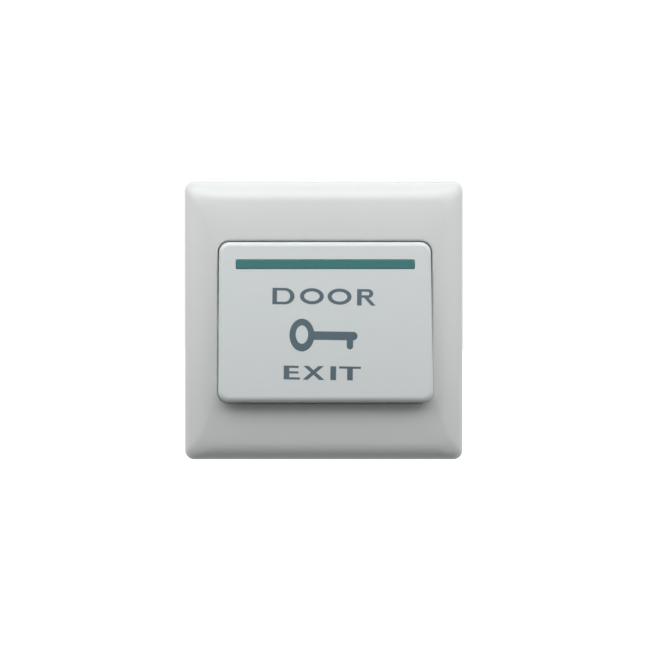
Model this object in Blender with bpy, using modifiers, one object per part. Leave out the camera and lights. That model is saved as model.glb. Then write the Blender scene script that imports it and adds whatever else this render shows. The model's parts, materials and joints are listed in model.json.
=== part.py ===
"""Door exit button: a rocker push switch on a square wall plate, with its contact block behind.

The origin is the centre of the wall plane, X points right, Z up, and the front faces -Y.
"Front" is the distance in front of the wall, so a place behind the wall has a negative front.
Pieces of the rocker measure front and z from the rocker's axis, in the untilted rocker.
"""

import math

import bmesh
import bpy
from mathutils import Matrix, Vector

MM = 0.001

# Clearances
SEAT_GAP = 0.3 * MM  # between pieces that bear on each other
RUNNING_GAP = 0.1 * MM  # radial, between a shaft and its bearing
SUNK = 0.5 * MM  # how far a rib or boss starts inside the wall that carries it
THROUGH = 1.0 * MM  # how far a cutter runs past the face that it cuts

# Frame around the paddle, whose plate is a square
SIDE_BORDER = 10.33 * MM  # from the opening's side to the plate's edge
PLATE_CORNER = 2.7 * MM
FRAME_WALL = 1.8 * MM
FRAME_INNER_CORNER = 1.0 * MM
EDGE_LAND = 1.6 * MM  # straight stretch of the edge next to the wall
BULLNOSE_WIDTH = 6.2 * MM
BULLNOSE_TOP = 7.2 * MM
BULLNOSE_END = math.radians(80)
SIDE_END = math.radians(78)
CROWN_RISE = 0.86 * MM  # from the bullnose to the opening's rim
CROWN_EASE = 1.59  # how much steeper the crown starts than it runs on average
RIM_ROUNDING = 0.7 * MM  # above and below the opening
RIM_SIDE_ROUNDING = 0.45 * MM
WELL_WALL = 1.3 * MM
WELL_LIFT = 0.4 * MM  # of the well's lower edge over the mounting plate
FRAME_RIB = 1.0 * MM
FRAME_RIB_PLACE = 14.0 * MM
CENTRING_RIB_WIDTH = 3.8 * MM
CENTRING_RIB_GAP = 0.15 * MM
PRY_NOTCH_WIDTH = 10.0 * MM
PRY_NOTCH_HEIGHT = 1.0 * MM

# Snap hooks of the frame
HOOK_X = 22.0 * MM
HOOK_WIDTH = 6.0 * MM
HOOK_THICKNESS = 1.0 * MM
HOOK_CATCH = 0.7 * MM
HOOK_EDGE = 1.3 * MM  # from the mounting plate's edge to the hook's outer face
HOOK_TIP = 0.15 * MM
HOOK_LEDGE = 1.0 * MM  # front of the ledge that the hook catches behind

# Paddle, which is the rocker's face
PADDLE_WIDTH = 64.5 * MM
PADDLE_HEIGHT = 48.4 * MM
PADDLE_CORNER = 3.3 * MM
PADDLE_EDGE = 1.7 * MM
PADDLE_FACE_WALL = 1.8 * MM
PADDLE_SKIRT_WALL = 1.6 * MM
PADDLE_INNER_EDGE = 0.6 * MM
PADDLE_SIDE_GAP = 0.42 * MM  # to the frame's opening
PADDLE_END_GAP = 0.6 * MM  # above and below, where the paddle swings
PADDLE_RIB = 1.0 * MM
PADDLE_RIB_DEPTH = 1.8 * MM
CLIP_WALL = 1.2 * MM
CLIP_WALL_PAST_WINDOW = 0.9 * MM
CLIP_WALL_END = 0.2 * MM

# Rocking motion
HUB_CLEARANCE = 0.6 * MM  # between the rocker's hub and the mounting plate
FACE_ABOVE_PIVOT = 5.4 * MM
REST_TILT = math.radians(4.5)  # lower edge out
PRESS_TILT = math.radians(4.0)  # lower edge in

# Strip let into the paddle
STRIP_MARGIN = 5.25 * MM  # from the strip's end to the paddle's side
STRIP_HEIGHT = 2.95 * MM
STRIP_DOWN = 6.95 * MM  # from the paddle's upper edge to the strip's middle
STRIP_GAP = 0.12 * MM
STRIP_SINK = 0.03 * MM
STRIP_CORNER = 0.4 * MM
FLANGE_THICKNESS = 0.8 * MM
FLANGE_LIP = 1.1 * MM
STAKE_RADIUS = 0.7 * MM
STAKE_LENGTH = 1.7 * MM

# Rocker carrier
CARRIER_PAST_EAR = 1.5 * MM
CARRIER_STRIP_GAP = 0.8 * MM  # between the carrier's upper edge and the strip's flange
CARRIER_THICKNESS = 1.7 * MM
CARRIER_CORNER = 1.5 * MM
HUB_RADIUS = 2.6 * MM
HUB_HALF = 9.2 * MM
TRUNNION_RADIUS = 1.5 * MM
TRUNNION_PAST_EAR = 0.2 * MM
NOSE_RADIUS = 1.0 * MM
NOSE_HALF_WIDTH = 2.0 * MM
NOSE_DROP = 0.6 * MM  # of the nose's tip behind the axis
LUG_Z = 7.0 * MM
LUG_HALF = 1.8 * MM
LUG_THICKNESS = 1.0 * MM
CARRIER_RIB_X = 6.0 * MM
CARRIER_RIB = 1.2 * MM

# Mounting plate
MOUNT_THICKNESS = 2.0 * MM
MOUNT_GAP = 0.7 * MM
MOUNT_CORNER = 2.0 * MM
EAR_THICKNESS = 2.5 * MM
EAR_HALF_DEPTH = 3.0 * MM
SCREW_PITCH = 60.3 * MM
SLOT_WIDTH = 4.4 * MM
SLOT_LENGTH = 9.0 * MM
SEAT_WIDTH = 8.0 * MM
SEAT_DEPTH = 0.6 * MM
RELIEF_HALF = 4.7 * MM  # room for a wall screw's head under the skirts
RELIEF_FRONT = 5.0 * MM
FIXING_Z = 11.0 * MM
FIXING_BOSS_RADIUS = 2.3 * MM
FIXING_BOSS_FRONT = 4.6 * MM

# Plunger and return spring
PLUNGER_Z = -10.0 * MM
PLUNGER_RADIUS = 1.6 * MM
PLUNGER_HEAD_RADIUS = 3.3 * MM
PLUNGER_HEAD = 1.2 * MM
PLUNGER_END = -3.8 * MM
SPRING_RADIUS = 2.6 * MM
SPRING_WIRE = 0.6 * MM
SPRING_TURNS = 3.5
SPRING_BORE_GAP = 0.7 * MM
GUIDE_WALL = 1.2 * MM
GUIDE_FLOOR = 1.8 * MM
PLUNGER_PROUD = 0.4 * MM  # of the guide's end

# Contacts
LEAF_ARM = 12.0 * MM  # from the plunger to the leaf's rivet
CONTACT_ARM = 8.0 * MM  # from the plunger to the contact
LEAF_WIDTH = 4.5 * MM
LEAF_THICKNESS = 0.4 * MM
LEAF_FOOT = 2.2 * MM
LEAF_TIP = 2.0 * MM
LEAF_CORNER = 1.2 * MM
RIVET_SHANK = 1.0 * MM
RIVET_HEAD_RADIUS = 1.7 * MM
RIVET_HEAD = 0.6 * MM
CONTACT_SHANK = 0.8 * MM
CONTACT_HEAD_RADIUS = 1.7 * MM
CONTACT_HEAD = 0.9 * MM
CONTACT_TAIL_RADIUS = 1.4 * MM
CONTACT_TAIL = 0.5 * MM
CONTACT_DOME = 0.2 * MM

# Terminals
STRAP_THICKNESS = 1.0 * MM
STRAP_WIDTH = 5.0 * MM
STRAP_BEND = 1.0 * MM
STRAP_REACH = 4.4 * MM  # from the leaf's rivet to the riser's middle
TAB_REAR_GAP = 0.8 * MM  # between the partition and a rear tab
TERMINAL_SCREW_RADIUS = 1.5 * MM
TERMINAL_HEAD_RADIUS = 3.0 * MM
TERMINAL_HEAD = 2.2 * MM
TERMINAL_END = 1.2 * MM  # past the tab
CLAMP_HALF = 4.0 * MM
CLAMP_THICKNESS = 1.0 * MM
CLAMP_LIP = 0.7 * MM
CLAMP_MARGIN = 0.5 * MM  # between the clamp and the strap's bend

# Switch housing
HOUSING_WALL = 1.6 * MM
HOUSING_CORNER = 2.0 * MM
HOUSING_TOP = 17.0 * MM
HOUSING_RIM_GAP = 0.6 * MM
PARTITION = 2.0 * MM
CHAMBER_SIDE_GAP = 1.0 * MM
BAY_TOP = -3.0 * MM
BARRIER = 2.4 * MM
HOUSING_PAST_SCREW = 1.6 * MM
FLANGE_PLATE = 2.2 * MM
FLANGE_ROUND = 3.0 * MM

# Housing screws
FIXING_SHANK = 1.1 * MM
FIXING_HEAD_RADIUS = 2.3 * MM
FIXING_HEAD = 1.6 * MM
FIXING_END_DEPTH = 0.6 * MM
THREAD_GAP = 0.15 * MM

# Fineness of the round stretches
CORNER_STEPS = 8
EDGE_STEPS = 5
BULLNOSE_STEPS = 8
CROWN_STEPS = 4
RIM_STEPS = 3
ROUND_SIDES = 24
COIL_SIDES = 14

# Sizes that follow from the ones above
RIM_FRONT = BULLNOSE_TOP + CROWN_RISE
OPENING_HALF_X = PADDLE_WIDTH / 2 + PADDLE_SIDE_GAP
OPENING_HALF_Z = PADDLE_HEIGHT / 2 + PADDLE_END_GAP
OPENING_CORNER = PADDLE_CORNER + PADDLE_SIDE_GAP
PLATE_HALF = OPENING_HALF_X + SIDE_BORDER
WELL_BOTTOM = MOUNT_THICKNESS + WELL_LIFT
MOUNT_HALF = PLATE_HALF - FRAME_WALL - MOUNT_GAP
HOOK_OUTER = MOUNT_HALF - HOOK_EDGE
HOOK_INNER = HOOK_OUTER - HOOK_THICKNESS
PIVOT_FRONT = MOUNT_THICKNESS + HUB_RADIUS + HUB_CLEARANCE
PADDLE_INSIDE = FACE_ABOVE_PIVOT - PADDLE_FACE_WALL
REST_DROP = PADDLE_HEIGHT / 2 * math.sin(REST_TILT)
SKIRT_END = (MOUNT_THICKNESS + SEAT_GAP + REST_DROP - PIVOT_FRONT) / math.cos(REST_TILT)
STRIP_WIDTH = PADDLE_WIDTH - 2 * STRIP_MARGIN
STRIP_Z = PADDLE_HEIGHT / 2 - STRIP_DOWN
FLANGE_LOW = STRIP_Z - STRIP_HEIGHT / 2 - FLANGE_LIP
CARRIER_HALF_Z = FLANGE_LOW - CARRIER_STRIP_GAP
CARRIER_FRONT = PADDLE_INSIDE - SEAT_GAP
CARRIER_BACK = CARRIER_FRONT - CARRIER_THICKNESS
LUG_FRONT = CARRIER_FRONT - (CARRIER_THICKNESS - LUG_THICKNESS) / 2
EAR_INNER = HUB_HALF + SEAT_GAP
EAR_OUTER = EAR_INNER + EAR_THICKNESS
EAR_TOP = CARRIER_BACK * math.cos(REST_TILT) - EAR_HALF_DEPTH * math.sin(REST_TILT) - SEAT_GAP
CARRIER_HALF_X = EAR_OUTER + CARRIER_PAST_EAR
CLIP_X = CARRIER_HALF_X + SEAT_GAP
CLIP_WALL_HALF = LUG_Z + LUG_HALF + SEAT_GAP + CLIP_WALL_PAST_WINDOW
PADDLE_RIB_X = (CLIP_X + CLIP_WALL + PADDLE_WIDTH / 2 - PADDLE_SKIRT_WALL) / 2
PLUNGER_ARM = -PLUNGER_Z
TRAVEL = PLUNGER_ARM * (REST_TILT + PRESS_TILT)
NOSE_REST = PIVOT_FRONT - NOSE_DROP * math.cos(REST_TILT) + PLUNGER_ARM * math.sin(REST_TILT)
PLUNGER_TOP = NOSE_REST - SEAT_GAP
HEAD_BACK = PLUNGER_TOP - PLUNGER_HEAD
GUIDE_END = PLUNGER_END + PLUNGER_PROUD
SPRING_SEAT = GUIDE_END + GUIDE_FLOOR
SPRING_BORE = SPRING_RADIUS + SPRING_WIRE / 2 + SPRING_BORE_GAP
GUIDE_RADIUS = SPRING_BORE + GUIDE_WALL
LEAF_FRONT = PLUNGER_END - SEAT_GAP
LEAF_BACK = LEAF_FRONT - LEAF_THICKNESS
LEAF_SWING = TRAVEL / LEAF_ARM
CONTACT_TRAVEL = (LEAF_ARM + CONTACT_ARM) * math.sin(LEAF_SWING)
MOVING_FACE = LEAF_BACK - SEAT_GAP - CONTACT_HEAD
FIXED_FACE = MOVING_FACE - CONTACT_TRAVEL - SEAT_GAP
OPEN_TAB_FRONT = FIXED_FACE - CONTACT_HEAD - SEAT_GAP
COMMON_TAB_FRONT = LEAF_BACK - SEAT_GAP
PARTITION_FRONT = OPEN_TAB_FRONT - STRAP_THICKNESS - CONTACT_TAIL - 2 * SEAT_GAP
PARTITION_BACK = PARTITION_FRONT - PARTITION
REAR_TAB_FRONT = PARTITION_BACK - TAB_REAR_GAP
REAR_TAB_BACK = REAR_TAB_FRONT - STRAP_THICKNESS
CLAMP_BACK = REAR_TAB_BACK - SEAT_GAP - CLAMP_THICKNESS
TERMINAL_HEAD_FRONT = CLAMP_BACK - SEAT_GAP
RISER_X = LEAF_ARM + STRAP_REACH
CHAMBER_HALF = RISER_X + STRAP_THICKNESS / 2 + CHAMBER_SIDE_GAP
CHAMBER_BOTTOM = PLUNGER_Z - GUIDE_RADIUS - HOUSING_RIM_GAP
HOUSING_HALF = CHAMBER_HALF + HOUSING_WALL
HOUSING_BOTTOM = CHAMBER_BOTTOM - HOUSING_WALL
HOUSING_BACK = TERMINAL_HEAD_FRONT - TERMINAL_HEAD - HOUSING_PAST_SCREW
TERMINAL_X = RISER_X - STRAP_BEND - CLAMP_MARGIN - CLAMP_HALF
FIXING_X = HOUSING_HALF + FIXING_HEAD_RADIUS + SEAT_GAP
FLANGE_BACK = -SEAT_GAP - FLANGE_PLATE


def remove_old_objects():
    for old in list(bpy.data.objects):
        bpy.data.objects.remove(old, do_unlink=True)


def new_collection(name):
    collection = bpy.data.collections.new(name)
    bpy.context.scene.collection.children.link(collection)
    return collection


def make_material(name, colour, roughness, metallic=0.0):
    material = bpy.data.materials.new(name)
    material.use_nodes = True
    shader = material.node_tree.nodes["Principled BSDF"]
    shader.inputs["Base Color"].default_value = (*colour, 1.0)
    shader.inputs["Roughness"].default_value = roughness
    shader.inputs["Metallic"].default_value = metallic
    material.diffuse_color = (*colour, 1.0)
    return material


remove_old_objects()
PARTS = new_collection("door_exit_button")
CUTTERS = new_collection("cutters")

FRAME_WHITE = make_material("frame_white", (0.72, 0.73, 0.72), 0.35)
PADDLE_WHITE = make_material("paddle_white", (0.74, 0.75, 0.75), 0.38)
STRIP_GREEN = make_material("strip_green", (0.06, 0.20, 0.19), 0.35)
CARRIER_WHITE = make_material("carrier_white", (0.70, 0.70, 0.68), 0.45)
PLATE_WHITE = make_material("plate_white", (0.66, 0.67, 0.66), 0.45)
HOUSING_BLACK = make_material("housing_black", (0.03, 0.03, 0.032), 0.45)
BRASS = make_material("brass", (0.72, 0.50, 0.20), 0.30, 1.0)
BRONZE = make_material("bronze", (0.62, 0.36, 0.18), 0.32, 1.0)
SILVER = make_material("contact_silver", (0.80, 0.79, 0.76), 0.25, 1.0)
STEEL = make_material("zinc_steel", (0.62, 0.63, 0.65), 0.30, 1.0)


def place(mesh_name, bm, collection, parent):
    """Make an object of a bmesh, with its faces outwards, at its parent's origin."""
    bmesh.ops.recalc_face_normals(bm, faces=bm.faces)
    mesh = bpy.data.meshes.new(mesh_name)
    bm.to_mesh(mesh)
    bm.free()
    mesh.shade_smooth()
    mesh.set_sharp_from_angle(angle=math.radians(35))
    placed = bpy.data.objects.new(mesh_name, mesh)
    placed.parent = parent
    collection.objects.link(placed)
    return placed


def piece(name, bm, material, parent=None):
    made = place(name, bm, PARTS, parent)
    made.data.materials.append(material)
    return made


def combine(target, bm, operation):
    """Join a shape to a piece, or cut it out of the piece, with a Boolean modifier."""
    tool = place(f"{target.name}_{operation.lower()}_{len(target.modifiers)}", bm, CUTTERS, target.parent)
    tool.hide_render = True
    tool.display_type = "WIRE"
    modifier = target.modifiers.new(tool.name, "BOOLEAN")
    modifier.operation = operation
    modifier.solver = "EXACT"
    modifier.object = tool


def join(target, bm):
    combine(target, bm, "UNION")


def cut(target, bm):
    combine(target, bm, "DIFFERENCE")


def box(x, front, z, bm=None):
    """A cuboid between two values of x, front and z, added to a bmesh or in a new one."""
    bm = bm or bmesh.new()
    size = Vector((x[1] - x[0], front[1] - front[0], z[1] - z[0]))
    middle = Vector((x[0] + x[1], -front[0] - front[1], z[0] + z[1])) / 2
    scaled = Matrix.Translation(middle) @ Matrix.Diagonal((*size, 1.0))
    bmesh.ops.create_cube(bm, size=1.0, matrix=scaled)
    return bm


def slab(x, front, z, corner, edge=0.0):
    """A cuboid with the corners of its outline rounded, and its front edge too if one is given."""
    bm = box(x, front, z)
    upright = [
        line for line in bm.edges if abs(line.verts[0].co.y - line.verts[1].co.y) > MM / 10
    ]
    bmesh.ops.bevel(
        bm, geom=upright, offset=corner, segments=CORNER_STEPS, profile=0.5, affect="EDGES"
    )
    if edge:
        foremost = min(vert.co.y for vert in bm.verts)
        rim = [
            line for line in bm.edges if all(vert.co.y < foremost + MM / 100 for vert in line.verts)
        ]
        bmesh.ops.bevel(
            bm, geom=rim, offset=edge, segments=EDGE_STEPS, profile=0.5, affect="EDGES"
        )
    return bm


def rod(radius, x, z, front, bm=None):
    """A cylinder that points to the front, through (x, z)."""
    bm = bm or bmesh.new()
    turned = Matrix.Rotation(math.pi / 2, 4, "X")
    middle = Matrix.Translation((x, -(front[0] + front[1]) / 2, z))
    bmesh.ops.create_cone(
        bm,
        cap_ends=True,
        segments=ROUND_SIDES,
        radius1=radius,
        radius2=radius,
        depth=front[1] - front[0],
        matrix=middle @ turned,
    )
    return bm


def axle(radius, x, front, z):
    """A cylinder along X, through (front, z)."""
    bm = bmesh.new()
    turned = Matrix.Rotation(math.pi / 2, 4, "Y")
    middle = Matrix.Translation(((x[0] + x[1]) / 2, -front, z))
    bmesh.ops.create_cone(
        bm,
        cap_ends=True,
        segments=ROUND_SIDES,
        radius1=radius,
        radius2=radius,
        depth=x[1] - x[0],
        matrix=middle @ turned,
    )
    return bm


def prism(outline, direction, bm=None):
    """Extrude a flat outline of points in a straight direction."""
    bm = bm or bmesh.new()
    face = bm.faces.new([bm.verts.new(point) for point in outline])
    swept = bmesh.ops.extrude_face_region(bm, geom=[face])["geom"]
    moved = [item for item in swept if isinstance(item, bmesh.types.BMVert)]
    bmesh.ops.translate(bm, verts=moved, vec=direction)
    return bm


def turned_piece(name, profile, material, x, z, parent=None):
    """Turn a profile of (radius, front) points, from the front end down, about a line along Y."""
    mesh = bpy.data.meshes.new(name)
    points = [(radius, 0.0, front) for radius, front in profile]
    lines = [(step, step + 1) for step in range(len(points) - 1)]
    mesh.from_pydata(points, lines, [])
    mesh.materials.append(material)
    made = bpy.data.objects.new(name, mesh)
    made.location = (x, 0.0, z)
    made.rotation_euler = (math.pi / 2, 0.0, 0.0)
    made.parent = parent
    PARTS.objects.link(made)
    screw = made.modifiers.new("turned", "SCREW")
    screw.steps = ROUND_SIDES
    screw.render_steps = ROUND_SIDES
    screw.use_merge_vertices = True
    screw.merge_threshold = MM / 100
    return made


def filleted(corners, radius, steps=3):
    """A polyline whose inner corners are rounded with arcs."""
    points = [corners[0]]
    for before, corner, after in zip(corners, corners[1:], corners[2:]):
        back = (before - corner).normalized()
        ahead = (after - corner).normalized()
        half = back.angle(ahead) / 2
        reach = radius / math.tan(half)
        centre = corner + (back + ahead).normalized() * radius / math.sin(half)
        start = (corner + back * reach - centre).normalized()
        end = (corner + ahead * reach - centre).normalized()
        points += [centre + radius * start.slerp(end, step / steps) for step in range(steps + 1)]
    return points + [corners[-1]]


def bent_strap(name, path, material):
    """A flat strap bent along a path of (x, front), wide in z, from a sheet with Solidify."""
    bm = bmesh.new()
    low = PLUNGER_Z - STRAP_WIDTH / 2
    verts = [bm.verts.new((x, -front, low)) for x, front in path]
    lines = [bm.edges.new(pair) for pair in zip(verts, verts[1:])]
    swept = bmesh.ops.extrude_edge_only(bm, edges=lines)["geom"]
    moved = [item for item in swept if isinstance(item, bmesh.types.BMVert)]
    bmesh.ops.translate(bm, verts=moved, vec=(0.0, 0.0, STRAP_WIDTH))
    strap = piece(name, bm, material)
    sheet = strap.modifiers.new("sheet", "SOLIDIFY")
    sheet.thickness = STRAP_THICKNESS
    sheet.offset = 0.0
    sheet.use_even_offset = True
    return strap


def ring(half_x, half_z, corner, front):
    """Points of a rounded rectangle at one distance in front of the wall."""
    points = []
    for quarter, (side_x, side_z) in enumerate(((1, 1), (-1, 1), (-1, -1), (1, -1))):
        for step in range(CORNER_STEPS + 1):
            angle = math.pi / 2 * (quarter + step / CORNER_STEPS)
            x = side_x * (half_x - corner) + corner * math.cos(angle)
            z = side_z * (half_z - corner) + corner * math.sin(angle)
            points.append((x, -front, z))
    return points


def loft_round(rings):
    """Skin a run of rings whose last one joins the first, as the wall of a picture frame."""
    bm = bmesh.new()
    loops = [[bm.verts.new(point) for point in points] for points in rings]
    for here, there in zip(loops, loops[1:] + loops[:1]):
        for step in range(len(here)):
            following = (step + 1) % len(here)
            bm.faces.new((here[step], here[following], there[following], there[step]))
    return bm


def bullnose_rings(inset, first_corner, last_corner):
    """The frame's rounded edge, inset by a wall. Its sides are narrower than its top and bottom."""
    reach_z = BULLNOSE_WIDTH / (1 - math.cos(BULLNOSE_END)) - inset
    rise_z = (BULLNOSE_TOP - EDGE_LAND) / math.sin(BULLNOSE_END) - inset
    half = PLATE_HALF - inset
    rings = []
    for step in range(BULLNOSE_STEPS + 1):
        share = step / BULLNOSE_STEPS
        angle = BULLNOSE_END * share
        front = EDGE_LAND + rise_z * math.sin(angle)
        half_z = half - reach_z * (1 - math.cos(angle))
        corner = first_corner + (last_corner - first_corner) * share
        rings.append(ring(half - side_run(front, inset), half_z, corner, front))
    return rings


def side_run(front, inset):
    """How far in from the side edge the frame's front surface reaches a height."""
    reach = (SIDE_BORDER - RIM_SIDE_ROUNDING) / (1 - math.cos(SIDE_END)) - inset
    rise = (RIM_FRONT - EDGE_LAND) / math.sin(SIDE_END) - inset
    return reach * (1 - math.sqrt(1 - ((front - EDGE_LAND) / rise) ** 2))


def crown_rings(corner):
    """The gentle slope from the bullnose to the rim of the opening."""
    outer = PLATE_HALF - BULLNOSE_WIDTH
    inner = OPENING_HALF_Z + RIM_ROUNDING
    rings = []
    for step in range(1, CROWN_STEPS + 1):
        share = step / CROWN_STEPS
        rise = CROWN_EASE * share - (CROWN_EASE - 1) * share**2
        front = BULLNOSE_TOP + CROWN_RISE * rise
        half_z = outer + (inner - outer) * share
        rings.append(ring(PLATE_HALF - side_run(front, 0.0), half_z, corner, front))
    return rings


def well_rings():
    """The rounded rim, the well that the paddle sits in, and the back of the well's wall."""
    rings = []
    for step in range(1, RIM_STEPS + 1):
        angle = math.pi / 2 * step / RIM_STEPS
        share = 1 - math.sin(angle)
        half_x = OPENING_HALF_X + RIM_SIDE_ROUNDING * share
        half_z = OPENING_HALF_Z + RIM_ROUNDING * share
        front = RIM_FRONT - RIM_ROUNDING * (1 - math.cos(angle))
        rings.append(ring(half_x, half_z, OPENING_CORNER + RIM_ROUNDING * share, front))
    rings.append(ring(OPENING_HALF_X, OPENING_HALF_Z, OPENING_CORNER, WELL_BOTTOM))
    for front in (WELL_BOTTOM, RIM_FRONT - FRAME_WALL):
        rings.append(
            ring(
                OPENING_HALF_X + WELL_WALL,
                OPENING_HALF_Z + WELL_WALL,
                OPENING_CORNER + WELL_WALL,
                front,
            )
        )
    return rings


def rib_outline(well, point):
    """The outline of a rib that spans from the well's wall to the frame's outer wall."""
    outer = PLATE_HALF - FRAME_WALL + SUNK / 2
    shoulder = PLATE_HALF - BULLNOSE_WIDTH
    inner = well + WELL_WALL - SUNK
    return [
        point(inner, WELL_BOTTOM),
        point(outer, WELL_BOTTOM),
        point(outer, EDGE_LAND + FRAME_WALL),
        point(shoulder, BULLNOSE_TOP - FRAME_WALL / 2),
        point(inner, RIM_FRONT - FRAME_WALL / 2),
    ]


def frame_ribs():
    """Four pairs of stiffening ribs under the frame's face."""
    bm = bmesh.new()
    half = FRAME_RIB / 2
    for side in (1, -1):
        for place_along in (FRAME_RIB_PLACE, -FRAME_RIB_PLACE):
            start = place_along - half
            upright = rib_outline(OPENING_HALF_Z, lambda out, front: (start, -front, side * out))
            prism(upright, (FRAME_RIB, 0.0, 0.0), bm)
            level = rib_outline(OPENING_HALF_X, lambda out, front: (side * out, -front, start))
            prism(level, (0.0, 0.0, FRAME_RIB), bm)
    return bm


def frame_hooks():
    """Four hooks that reach through the mounting plate and catch behind its ledges."""
    bm = bmesh.new()
    barb_front = HOOK_LEDGE - SEAT_GAP
    for side in (1, -1):
        outline = [
            (HOOK_OUTER, HOOK_TIP),
            (HOOK_OUTER, BULLNOSE_TOP - FRAME_WALL),
            (HOOK_INNER, BULLNOSE_TOP - FRAME_WALL),
            (HOOK_INNER, barb_front),
            (HOOK_INNER - HOOK_CATCH, barb_front),
            (HOOK_INNER - HOOK_CATCH, (barb_front + HOOK_TIP) / 2),
            (HOOK_INNER, HOOK_TIP),
        ]
        for middle in (HOOK_X, -HOOK_X):
            start = middle - HOOK_WIDTH / 2
            points = [(start, -front, side * out) for out, front in outline]
            prism(points, (HOOK_WIDTH, 0.0, 0.0), bm)
    return bm


def centring_ribs():
    """A rib in each side of the well that keeps the paddle in the middle."""
    bm = bmesh.new()
    inner = OPENING_HALF_X - PADDLE_SIDE_GAP + CENTRING_RIB_GAP
    outer = OPENING_HALF_X + WELL_WALL / 2
    half = CENTRING_RIB_WIDTH / 2
    for x in ((inner, outer), (-outer, -inner)):
        box(x, (RELIEF_FRONT + SEAT_GAP, RIM_FRONT - RIM_ROUNDING), (-half, half), bm)
    return bm


def well_reliefs():
    """Room in the well's side walls for the heads of the wall screws."""
    bm = bmesh.new()
    inner = OPENING_HALF_X - THROUGH
    outer = OPENING_HALF_X + WELL_WALL + THROUGH
    for x in ((inner, outer), (-outer, -inner)):
        box(x, (WELL_BOTTOM - THROUGH, RELIEF_FRONT), (-RELIEF_HALF, RELIEF_HALF), bm)
    return bm


def make_trim_frame():
    face_corner = OPENING_CORNER + RIM_ROUNDING
    well_corner = OPENING_CORNER + WELL_WALL
    inner_half = PLATE_HALF - FRAME_WALL
    underside = bullnose_rings(FRAME_WALL, FRAME_INNER_CORNER, well_corner)
    rings = [
        ring(PLATE_HALF, PLATE_HALF, PLATE_CORNER, 0.0),
        *bullnose_rings(0.0, PLATE_CORNER, face_corner),
        *crown_rings(face_corner),
        *well_rings(),
        *reversed(underside),
        ring(inner_half, inner_half, FRAME_INNER_CORNER, 0.0),
    ]
    frame = piece("trim_frame", loft_round(rings), FRAME_WHITE)
    join(frame, frame_ribs())
    join(frame, frame_hooks())
    join(frame, centring_ribs())
    cut(frame, well_reliefs())
    notch_top = PLATE_HALF - FRAME_WALL - THROUGH
    cut(
        frame,
        box(
            (-PRY_NOTCH_WIDTH / 2, PRY_NOTCH_WIDTH / 2),
            (-THROUGH, PRY_NOTCH_HEIGHT),
            (-PLATE_HALF - THROUGH, -notch_top),
        ),
    )


def make_paddle(rocker):
    half_x = PADDLE_WIDTH / 2
    half_z = PADDLE_HEIGHT / 2
    shell = slab(
        (-half_x, half_x),
        (SKIRT_END, FACE_ABOVE_PIVOT),
        (-half_z, half_z),
        PADDLE_CORNER,
        PADDLE_EDGE,
    )
    paddle = piece("paddle", shell, PADDLE_WHITE, rocker)
    inner_x = half_x - PADDLE_SKIRT_WALL
    inner_z = half_z - PADDLE_SKIRT_WALL
    hollow = slab(
        (-inner_x, inner_x),
        (SKIRT_END - THROUGH, PADDLE_INSIDE),
        (-inner_z, inner_z),
        PADDLE_CORNER - PADDLE_SKIRT_WALL,
        PADDLE_INNER_EDGE,
    )
    cut(paddle, hollow)
    join(paddle, paddle_ribs(inner_z))
    join(paddle, clip_walls())
    cut(paddle, clip_windows())
    slot_x = STRIP_WIDTH / 2 + STRIP_GAP
    slot_z = STRIP_HEIGHT / 2 + STRIP_GAP
    slot = slab(
        (-slot_x, slot_x),
        (PADDLE_INSIDE - THROUGH, FACE_ABOVE_PIVOT + THROUGH),
        (STRIP_Z - slot_z, STRIP_Z + slot_z),
        STRIP_CORNER + STRIP_GAP,
    )
    cut(paddle, slot)
    stakes = bmesh.new()
    for x in (stake_x(), -stake_x()):
        rod(STAKE_RADIUS, x, STRIP_Z, (PADDLE_INSIDE - STAKE_LENGTH, PADDLE_INSIDE + SUNK), stakes)
    join(paddle, stakes)
    cut(paddle, skirt_reliefs(half_x))


def stake_x():
    """Place of the heat stakes, midway between the strip's end and the paddle's skirt."""
    return (STRIP_WIDTH / 2 + PADDLE_WIDTH / 2 - PADDLE_SKIRT_WALL) / 2


def paddle_ribs(inner_z):
    """Two upright ribs behind the face, which stop short of the strip's flange."""
    bm = bmesh.new()
    top = FLANGE_LOW - SEAT_GAP
    for middle in (PADDLE_RIB_X, -PADDLE_RIB_X):
        box(
            (middle - PADDLE_RIB / 2, middle + PADDLE_RIB / 2),
            (PADDLE_INSIDE - PADDLE_RIB_DEPTH, PADDLE_INSIDE + SUNK),
            (-inner_z - SUNK, top),
            bm,
        )
    return bm


def clip_walls():
    """Two walls behind the paddle's face that the carrier's lugs snap into."""
    bm = bmesh.new()
    for x in ((CLIP_X, CLIP_X + CLIP_WALL), (-CLIP_X - CLIP_WALL, -CLIP_X)):
        box(x, (CLIP_WALL_END, PADDLE_INSIDE + SUNK), (-CLIP_WALL_HALF, CLIP_WALL_HALF), bm)
    return bm


def clip_windows():
    bm = bmesh.new()
    inner = CLIP_X - SEAT_GAP / 2
    outer = CLIP_X + CLIP_WALL + THROUGH
    half = LUG_HALF + SEAT_GAP
    fronts = (LUG_FRONT - LUG_THICKNESS - SEAT_GAP, LUG_FRONT + SEAT_GAP / 2)
    for x in ((inner, outer), (-outer, -inner)):
        for middle in (LUG_Z, -LUG_Z):
            box(x, fronts, (middle - half, middle + half), bm)
    return bm


def skirt_reliefs(half_x):
    """Arches in the side skirts over the heads of the wall screws."""
    bm = bmesh.new()
    inner = half_x - PADDLE_SKIRT_WALL - THROUGH
    outer = half_x + THROUGH
    fronts = (SKIRT_END - THROUGH, RELIEF_FRONT - PIVOT_FRONT + SEAT_GAP)
    for x in ((inner, outer), (-outer, -inner)):
        box(x, fronts, (-RELIEF_HALF, RELIEF_HALF), bm)
    return bm


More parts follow.
